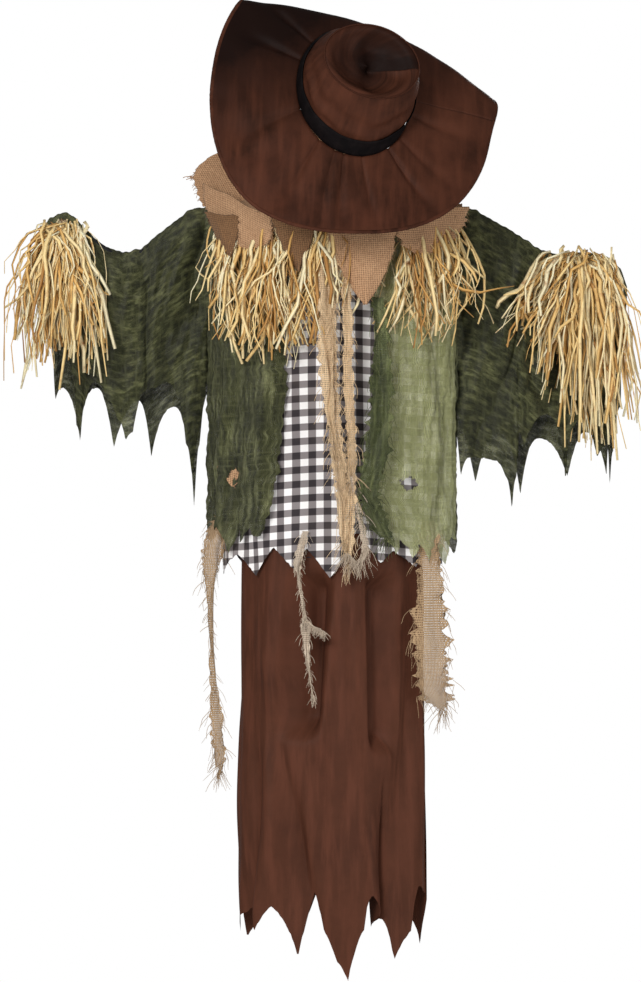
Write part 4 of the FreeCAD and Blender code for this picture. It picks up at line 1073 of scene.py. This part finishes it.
def leaf(name, left, right, tip, blunt, material, hides=(), seed=0, bulge=9.0, ragged=9.0):
    """A flap of burlap from an edge (left to right) to a tip. A high blunt makes its end square."""
    rows, columns = 34, 26
    left, right, tip = Vector(left), Vector(right), Vector(tip)
    middle, lead = (left + right) / 2, right - left
    length = (tip - middle).length

    def spot(r, c):
        t = r / rows
        s = c / columns - 0.5
        taper = max(0.03, 1 - t ** blunt) ** 0.85
        rag = 1 + ragged / lead.length * wobble(t * length / 5, 3 * s, seed) * (2 * abs(s)) ** 3
        place = middle.lerp(tip, t) + lead * s * taper * rag
        place.y -= bulge * math.sin(math.pi * (0.2 + 0.7 * t)) * (1 - (2 * s) ** 2)
        place.y -= 5 * wobble(s * 3 + seed, t * 2.4, seed) * smooth(t * 3)
        place.z += 3 * wobble(s * 4 + seed, t * 2, seed + 4)
        return place, (lead.length * s * taper, -length * t)

    made = cloth(name, rows, columns, spot, material, "root", hides)
    thicken(made, 1.1)
    rng = random.Random(seed)
    fray = []
    for r, c in side_edges(4, rows, columns):
        if rng.random() < 0.75:
            start = spot(r, c)[0]
            end = start + (start - spot(r, columns // 2)[0]).normalized() * rng.uniform(1, 5)
            end += Vector((0, 0, -rng.uniform(1, 7)))
            middle_point = start.lerp(end, 0.5) + Vector((0, -0.5, 0))
            fray.append(Strand([start, middle_point, end], width=0.8, thick=0.6, twist=0.2, shade=0.5))
    make_strands(name + "_fray", fray, material, "root")
    declare_cloth(made)


def side_edges(first, rows, columns):
    """Row and column of the points on both side edges of a sheet, from row first down."""
    return [(r, c) for r in range(first, rows + 1) for c in (0, columns)]


def curve_point(path, t):
    """A point on a smooth line through the points of path."""
    spans = len(path) - 1
    at = clamp(t) * spans
    i = min(int(at), spans - 1)
    f = at - i
    a, b = path[max(i - 1, 0)], path[i]
    c, d = path[i + 1], path[min(i + 2, spans)]
    square = 2 * a - 5 * b + 4 * c - d
    cube = 3 * b - a - 3 * c + d
    return 0.5 * (2 * b + (c - a) * f + square * f ** 2 + cube * f ** 3)


def strip(name, path, widths, hides=(), seed=0, crumple=4.0, turns=0.0, material=RAFFIA,
          fray=34):
    """A torn strip that hangs along a path. It is crumpled lengthways and its edges are frayed."""
    rows, columns = 110, 12
    path = [Vector(point) for point in path]
    length = sum((b - a).length for a, b in zip(path, path[1:]))
    widest = max(width for _, width in widths)

    def spot(r, c):
        t = r / rows
        s = c / columns - 0.5
        width = along(widths, t)
        turn = turns * math.tau * smooth(t) + 0.5 * wobble(t * length / 60, seed, 1)
        torn = 1 + 0.7 * wobble(t * length / 6, 9 * s, seed) * (2 * abs(s)) ** 3
        crease = crumple * math.sin(7 * s + 3 * wobble(t * length / 55, s, seed + 2) + seed) * width / widest
        place = curve_point(path, t) + heading(turn) * width * s * torn + heading(turn + math.pi / 2) * crease
        return place, (1.15 * widest * s * min(1, width / widest), -length * t)

    made = cloth(name, rows, columns, spot, material, "root", hides)
    declare_cloth(made)
    rng = random.Random(seed)
    loose = []
    for r, c in side_edges(3, rows, columns):
        if rng.random() < 0.7:
            loose.append(thread(rng, spot(r, c)[0], rng.uniform(0.2, 1) * fray))
    for _ in range(22):
        loose.append(thread(rng, spot(rows, rng.randrange(columns))[0], rng.uniform(0.3, 1.3) * fray))
    make_strands(name + "_fray", loose, material, "root")


def thread(rng, start, length):
    """A loose thread that curls as it hangs."""
    steps = 6
    points = [start]
    ahead = Vector((rng.gauss(0, 0.8), rng.gauss(-0.2, 0.4), -0.8))
    for _ in range(steps):
        ahead += Vector((rng.gauss(0, 0.35), rng.gauss(0, 0.2), -0.35))
        points.append(points[-1] + ahead.normalized() * length / steps)
    return Strand(points, width=0.9, thick=0.7, twist=0.4, shade=rng.random())


def make_collar():
    leaf("petal_far_left", (-203, -76, -8), (-92, -146, -66), (-148, -126, -110), 3.2, BURLAP,
         ("burlap_collar",), seed=20, bulge=12)
    leaf("petal_left_point", (-198, -102, -56), (-148, -132, -62), (-160, -130, -126), 1.4, SHADED_BURLAP,
         seed=21)
    leaf("petal_dark", (-98, -150, -56), (-22, -156, -58), (-53, -162, -148), 1.25, SHADED_BURLAP, seed=22)
    leaf("petal_centre", (-10, -158, -58), (102, -152, -56), (52, -164, -201), 1.9, BURLAP, seed=24)
    leaf("petal_right", (100, -152, -52), (212, -86, -46), (146, -130, -124), 3.0, BURLAP, seed=25, ragged=22)
    leaf("petal_far_right", (172, -94, -36), (206, -76, -42), (192, -96, -70), 1.4, SHADED_BURLAP, seed=26)


def make_cape():
    """Burlap cape on the shoulders that the petals are cut from. It leaves the hanger plate clear."""
    rows, columns = 16, 150
    inner, outer = (66, 48), (196, 112)

    def spot(r, c):
        t = r / rows
        turn = c / columns
        rim = oval(outer, turn)
        place = oval(inner, turn).lerp(rim, t)
        place.z = mix(-8, -52 - 16 * smooth(abs(rim.x) / 200), t ** 1.4)
        place.z += 5 * wobble(turn * 14, t * 2, 6) * t
        if turn < 0.5:
            place.y -= 14 * t
        else:
            place += Vector((0, -10, 8)) * t * math.sqrt(abs(math.sin(math.tau * turn)))
        return place, (900 * turn * mix(0.5, 1.0, t), 130 * t)

    cape = cloth("burlap_cape", rows, columns, spot, BURLAP, "root")
    declare_cloth(cape)


def make_hood():
    """Burlap flaps that stand behind the neck, and a twisted end that sticks out at the left."""
    leaf("hood_left", (-202, -44, -44), (-50, -6, -40), (-172, -20, 42), 3.2, BURLAP, ("neck_hood",), seed=41)
    leaf("hood_right", (50, -6, -36), (196, -44, -40), (140, -20, 12), 3.2, BURLAP, seed=43)
    rng = random.Random(17)
    wisps = []
    for _ in range(9):
        start = Vector((-196, -30, -14)) + Vector((rng.gauss(0, 4), 0, rng.gauss(0, 4)))
        end = Vector((-224, -36, 2)) + Vector((rng.gauss(0, 6), 0, rng.gauss(0, 5)))
        over = start.lerp(end, 0.5) + Vector((0, 0, 12))
        line = straw_line(rng, start, over, end, 1.2)
        wisps.append(Strand(line, width=2.0, thick=1.2, twist=1.0, shade=0.4))
    make_strands("hood_wisps", wisps, BURLAP, "root")


def make_neck():
    """The sack's gathered neck: a tube from the shoulders to the head that bends at the joint."""
    rows, around = 34, 96
    low = Vector((0, -42, -34))
    knee = NECK + Vector((0, 4, 22))
    high = in_head(Vector((-8, 2, 70)))
    head_turn = HEAD_FRAME.to_quaternion()

    def spot(r, c):
        t = r / rows
        angle = math.tau * c / around
        cosine, sine = math.cos(angle), math.sin(angle)
        spread = 1 - smooth(t * 1.5)
        gather = (3 + 8 * spread) * math.sin(9 * (angle + 1.2 * t) + 2.5 * wobble(cosine * 2, t * 3, 5))
        gather += 5 * wobble(cosine * 3 + t, sine * 3 + 4 * t, 7)
        radius = mix(54, 122, spread ** 1.3) + gather
        offset = Vector((cosine * radius, sine * radius * mix(0.66, 0.95, smooth(t * 1.5)), 0))
        centre = low * (1 - t) ** 2 + knee * 2 * t * (1 - t) + high * t * t
        place = centre + Quaternion().slerp(head_turn, smooth(t)) @ offset
        place.z += 52 * smooth(sine * 2.2 - 0.9) * (1 - t) ** 2
        return place, (400 * c / around, 150 * t)

    neck = cloth("sack_neck", rows, around, spot, BURLAP, None)
    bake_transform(neck)
    declare_cloth(neck)


TAILS_Y = TORSO_Y - 124


def make_tails():
    """The pale strips that hang from the collar's middle. Their raffia is a lighter copy whose extra
    lightness is painted light.
    """
    strip("tail_left",
          [(-13, TAILS_Y + 14, -92), (-9, TAILS_Y - 4, -200), (-4, TAILS_Y - 6, -322), (7, TAILS_Y, -430),
           (15, TAILS_Y + 8, -496), (19, TAILS_Y + 16, -573)],
          [(0, 22), (0.4, 25), (0.8, 22), (0.95, 16), (1, 5)], ("centre_tails",),
          seed=51, turns=0.1, material=LIT_RAFFIA)
    strip("tail_right",
          [(18, TAILS_Y + 12, -104), (23, TAILS_Y, -190), (26, TAILS_Y, -322), (31, TAILS_Y + 6, -430),
           (31, TAILS_Y + 10, -496), (24, TAILS_Y + 18, -607)],
          [(0, 12), (0.4, 16), (0.7, 15), (0.8, 22), (0.93, 20), (1, 4)],
          seed=52, turns=-0.12, material=LIT_RAFFIA)
    strip("tail_thin",
          [(-4, TAILS_Y + 6, -110), (2, TAILS_Y - 10, -240), (-2, TAILS_Y - 8, -360), (8, TAILS_Y, -430)],
          [(0, 7), (0.6, 10), (1, 3)], seed=53, crumple=1.5, turns=0.6, material=LIT_RAFFIA)
    strip("tail_loop",
          [(30, TAILS_Y + 8, -470), (44, TAILS_Y + 6, -540), (52, TAILS_Y + 12, -586),
           (40, TAILS_Y + 12, -606), (24, TAILS_Y + 14, -590)],
          [(0, 5), (0.5, 11), (1, 3)], seed=54, crumple=1.0, material=GREY_RAFFIA)


def make_strips():
    """The strips that hang from the hips, and a frayed strand with its branch between them."""
    strip("hip_strip_left",
          [(-172, -70, -532), (-186, -74, -590), (-190, -73, -700), (-181, -72, -850), (-176, -72, -931)],
          [(0, 24), (0.15, 33), (0.4, 27), (0.66, 15), (0.75, 22), (0.92, 17), (1, 5)], ("left_hip_strip",),
          seed=61, crumple=5, turns=0.5)
    strip("hip_strip_right",
          [(152, -84, -540), (154, -100, -620), (155, -102, -730), (158, -100, -800), (172, -98, -835)],
          [(0, 22), (0.25, 40), (0.5, 52), (0.86, 48), (0.93, 26), (1, 8)], ("right_hip_strip",),
          seed=62, crumple=4)
    strip("gauze_strand",
          [(-41, -116, -556), (-53, -132, -602), (-51, -136, -642), (-42, -136, -700), (-38, -134, -760),
           (-30, -132, -812)],
          [(0, 10), (0.3, 15), (0.55, 8), (0.62, 13), (0.8, 6), (1, 2)], ("frayed_strand",),
          seed=63, crumple=2.5, turns=0.7, material=GREY_RAFFIA, fray=18)
    strip("gauze_branch", [(-46, -137, -692), (-34, -142, -704), (-24, -142, -708), (-14, -142, -712)],
          [(0, 6), (0.5, 9.5), (1, 2)], seed=64, crumple=2, material=GREY_RAFFIA, fray=14)


# ---- Face, hidden by the hat until the head is raised ---------------------------------------

FACE_TURN = 1.5 * math.pi
FACE_HALF_HEIGHT = 92


def face_relief(sideways, lift):
    """How far the nose, the brow and the chin stand out. sideways is in radians from the face's middle."""
    nose = 11 * bell(sideways, 0, 0.16) * bell(lift, -0.14, 0.17)
    brow = 5 * bell(lift, 0.18, 0.1) * bell(sideways, 0, 0.75)
    chin = 5 * bell(sideways, 0, 0.4) * bell(lift, -0.68, 0.16)
    return nose + brow + chin


def sack_place(turn, lift, radius):
    """A point round the head, in the head's frame. lift runs from -1 under the chin to 1 on top."""
    reach = radius * math.sqrt(1 - lift * lift) + face_relief(turn - FACE_TURN, lift)
    return HEAD_CENTRE + heading(turn) * reach + Vector((0, 0, FACE_HALF_HEIGHT * lift))


def make_sack():
    """A burlap sack over the head shell, gathered below the chin, with two torn holes for the eyes."""
    turns, steps = 160, 110
    eye_holes = [(HEAD_CENTRE.x + side * 28, 152, 12, 9.5) for side in (-1, 1)]

    def bare_place(r, c):
        turn = math.tau * c / turns
        lift = mix(-0.93, 0.72, r / steps)
        crinkle = 1.4 * wobble(math.cos(turn) * 4, lift * 5 + math.sin(turn), 3)
        sockets = bell(turn, FACE_TURN - 0.38, 0.16) + bell(turn, FACE_TURN + 0.38, 0.16)
        gather = 2.2 * math.sin(18 * turn) * smooth((-0.62 - lift) / 0.3)
        stand = gather - 3.5 * sockets * bell(lift, 0.02, 0.14)
        return sack_place(turn, lift, 78.4 + crinkle) + heading(turn) * stand

    def spot(r, c):
        return in_head(bare_place(r, c)), (490 * c / turns, 280 * r / steps)

    def torn(r, c):
        place = bare_place(r, c)
        return place.y < 0 and in_a_hole(place, eye_holes)

    sack = cloth("sack_cloth", steps, turns, spot, BURLAP, "head", ("sack_face",), torn)
    thicken(sack, 1.2)


def on_face(sideways, lift, proud):
    """A point proud of the sack's front. sideways is in radians from the face's middle."""
    turn = FACE_TURN + sideways
    return in_head(sack_place(turn, lift, 79.5) + heading(turn) * proud)


def make_features():
    """Stitches in black thread: the mouth's line, the bars across it and the seam up the face."""
    mouth = []
    for i in range(13):
        t = i / 12
        mouth.append(on_face(mix(-0.42, 0.42, t), -0.44 + 0.05 * math.cos(math.pi * (t - 0.5) * 2), 1))
    stitches = [Strand(mouth, width=2.4, thick=1.6, twist=0.1, shade=0.2)]
    for i in range(11):
        middle = mix(-0.4, 0.4, i / 10)
        bar = [on_face(middle + 0.012 * step, -0.40 + 0.05 * step, 2.2 - 0.7 * abs(step))
               for step in (1, 0, -1)]
        stitches.append(Strand(bar, width=1.8, thick=1.2, twist=0.2, shade=0.3))
    for i in range(16):
        lift = mix(-0.85, 0.6, i / 15)
        cross = [on_face(0.02 * step, lift - 0.015 * step, 2 - abs(step)) for step in (1, 0, -1)]
        stitches.append(Strand(cross, width=1.4, thick=1.0, twist=0.2, shade=0.3))
    make_strands("face_stitches", stitches, HAT_BAND, "head")


# ---- Metal, plastic and other CAD pieces ------------------------------------------------------

def eye_material():
    recipe = Recipe("amber_lens")
    cloud = recipe.noise(recipe.place(), 200.0, 2.0)
    recipe.colour(recipe.blend(cloud, srgb(220, 120, 30), srgb(250, 170, 60)))
    recipe.shader.inputs["Emission Color"].default_value = srgb(255, 140, 40)
    recipe.shader.inputs["Emission Strength"].default_value = 0.8
    recipe.set(roughness=0.2, specular=0.5, coat=0.5)
    return recipe.material


def cad_finishes():
    """The material for each slot of the CAD pieces that no cloth or straw replaces."""
    return {
        "steel_frame": metal_material("black_steel", srgb(48, 48, 50), 0.45, 0.3),
        "steel_plate": metal_material("zinc_steel", srgb(182, 182, 178), 0.28),
        "case_plastic": moulded_material("case_plastic", srgb(40, 40, 42), 0.55),
        "gear_plastic": moulded_material("gear_plastic", srgb(225, 222, 210), 0.4, 500.0, 0.0001),
        "bush_brass": metal_material("turned_brass", srgb(196, 160, 92), 0.25),
        "motor_can": metal_material("motor_can", srgb(190, 190, 190), 0.3),
        "battery_wrap": moulded_material("battery_wrap", srgb(52, 84, 120), 0.3, 300.0, 0.0001),
        "board_green": moulded_material("board_green", srgb(30, 96, 52), 0.35, 700.0, 0.0001),
        "speaker_black": moulded_material("speaker_black", srgb(34, 34, 34), 0.6),
        "button_red": moulded_material("button_red", srgb(176, 32, 26), 0.3, 300.0, 0.0001),
        "shell_plastic": moulded_material("shell_plastic", srgb(120, 100, 80), 0.5),
        "eye_amber": eye_material(),
    }


def finish_cad_nodes():
    finishes = cad_finishes()
    slots = {item["node"]: item["material_slot"] for item in frame["record"]["subparts"]}
    for node_name, obj in frame["nodes"].items():
        finish = finishes.get(slots[node_name])
        if finish is None:
            continue
        if not obj.material_slots:
            obj.data.materials.append(finish)
        for material_slot in obj.material_slots:
            material_slot.material = finish


# ---- Room -----------------------------------------------------------------------------------

def make_room():
    """A round pale floor below the figure, which hangs clear of it."""
    floor_z, radius, sides = -1.75, 2.6, 96
    places = [(0, 0, floor_z)]
    for i in range(sides):
        angle = math.tau * i / sides
        places.append((radius * math.cos(angle), radius * math.sin(angle), floor_z))
    faces = [(0, i + 1, (i + 1) % sides + 1) for i in range(sides)]
    mesh = bpy.data.meshes.new("floor")
    mesh.from_pydata(places, [], faces)
    floor = bpy.data.objects.new("floor", mesh)
    recipe = Recipe("pale_paper")
    grain = recipe.noise(recipe.place(), 4.0, 2.0)
    recipe.colour(recipe.blend(grain, (0.8, 0.8, 0.8, 1), (0.86, 0.86, 0.86, 1)))
    recipe.set(roughness=0.9)
    mesh.materials.append(recipe.material)
    bpy.context.scene.collection.objects.link(floor)


def make_sky():
    """An even white surround that lights the figure less than it shows behind it."""
    soft_light, shown_white = 0.36, 1.0
    world = bpy.data.worlds.new("studio")
    world.use_nodes = True
    nodes, links = world.node_tree.nodes, world.node_tree.links
    light = nodes["Background"]
    light.inputs[0].default_value = (1, 1, 1, 1)
    light.inputs[1].default_value = soft_light
    shown = nodes.new("ShaderNodeBackground")
    shown.inputs[0].default_value = (1, 1, 1, 1)
    shown.inputs[1].default_value = shown_white
    choice = nodes.new("ShaderNodeMixShader")
    links.new(nodes.new("ShaderNodeLightPath").outputs["Is Camera Ray"], choice.inputs[0])
    links.new(light.outputs[0], choice.inputs[1])
    links.new(shown.outputs[0], choice.inputs[2])
    links.new(choice.outputs[0], nodes["World Output"].inputs[0])
    bpy.context.scene.world = world


def make_light(name, place, aim, size, power):
    data = bpy.data.lights.new(name, "AREA")
    data.shape = "DISK"
    data.size = size
    data.energy = power
    light = bpy.data.objects.new(name, data)
    light.location = place
    light.rotation_euler = (Vector(aim) - Vector(place)).to_track_quat("-Z", "Y").to_euler()
    bpy.context.scene.collection.objects.link(light)


def make_lights():
    aim = (0, 0, -0.45)
    make_light("key", (-1.2, -3.5, 0.55), aim, size=1.2, power=97)
    make_light("fill", (2.6, -2.6, -0.9), aim, size=1.8, power=34)
    make_light("back", (1.6, 3.0, 0.6), aim, size=1.8, power=60)


def make_camera():
    distance, view_height, centre_x, centre_z = 16.0, 1.5417, -0.018, -0.493
    plane_y = -0.1
    data = bpy.data.cameras.new("camera")
    data.sensor_fit = "VERTICAL"
    data.sensor_height = 36.0
    data.lens = data.sensor_height * distance / view_height
    camera = bpy.data.objects.new("camera", data)
    camera.location = (centre_x, plane_y - distance, centre_z)
    camera.rotation_euler = (math.pi / 2, 0, 0)
    bpy.context.scene.collection.objects.link(camera)
    bpy.context.scene.camera = camera
    bpy.context.scene.view_settings.view_transform = "Standard"


def build():
    make_camera()
    make_lights()
    make_room()
    make_sky()
    make_brim()
    make_crown()
    make_band()
    make_sack()
    make_features()
    make_shirt()
    make_jacket()
    make_gown()
    make_sleeve("left", LEFT_SHOULDER)
    make_sleeve("right", RIGHT_SHOULDER)
    make_straw_hand("left", Vector((-424, -36, -70)), LEFT_HAND_REACH, count=270, seed=11, spread=0.16,
                    overshoot=1.4)
    make_straw_hand("right", Vector((398, -44, -118)), RIGHT_HAND_REACH, count=330, seed=12, spread=0.36,
                    overshoot=1.1)
    make_straw_collar("straw_tuft_left", (-186, 4), LEFT_TUFT_REACH, count=230, seed=13,
                      hides=("straw_collar_left",))
    make_straw_collar("straw_tuft_right", (106, 196), RIGHT_TUFT_REACH, count=120, seed=14,
                      hides=("straw_collar_right",))
    make_stray_straws()
    make_collar()
    make_cape()
    make_hood()
    make_neck()
    make_tails()
    make_strips()
    finish_cad_nodes()


build()
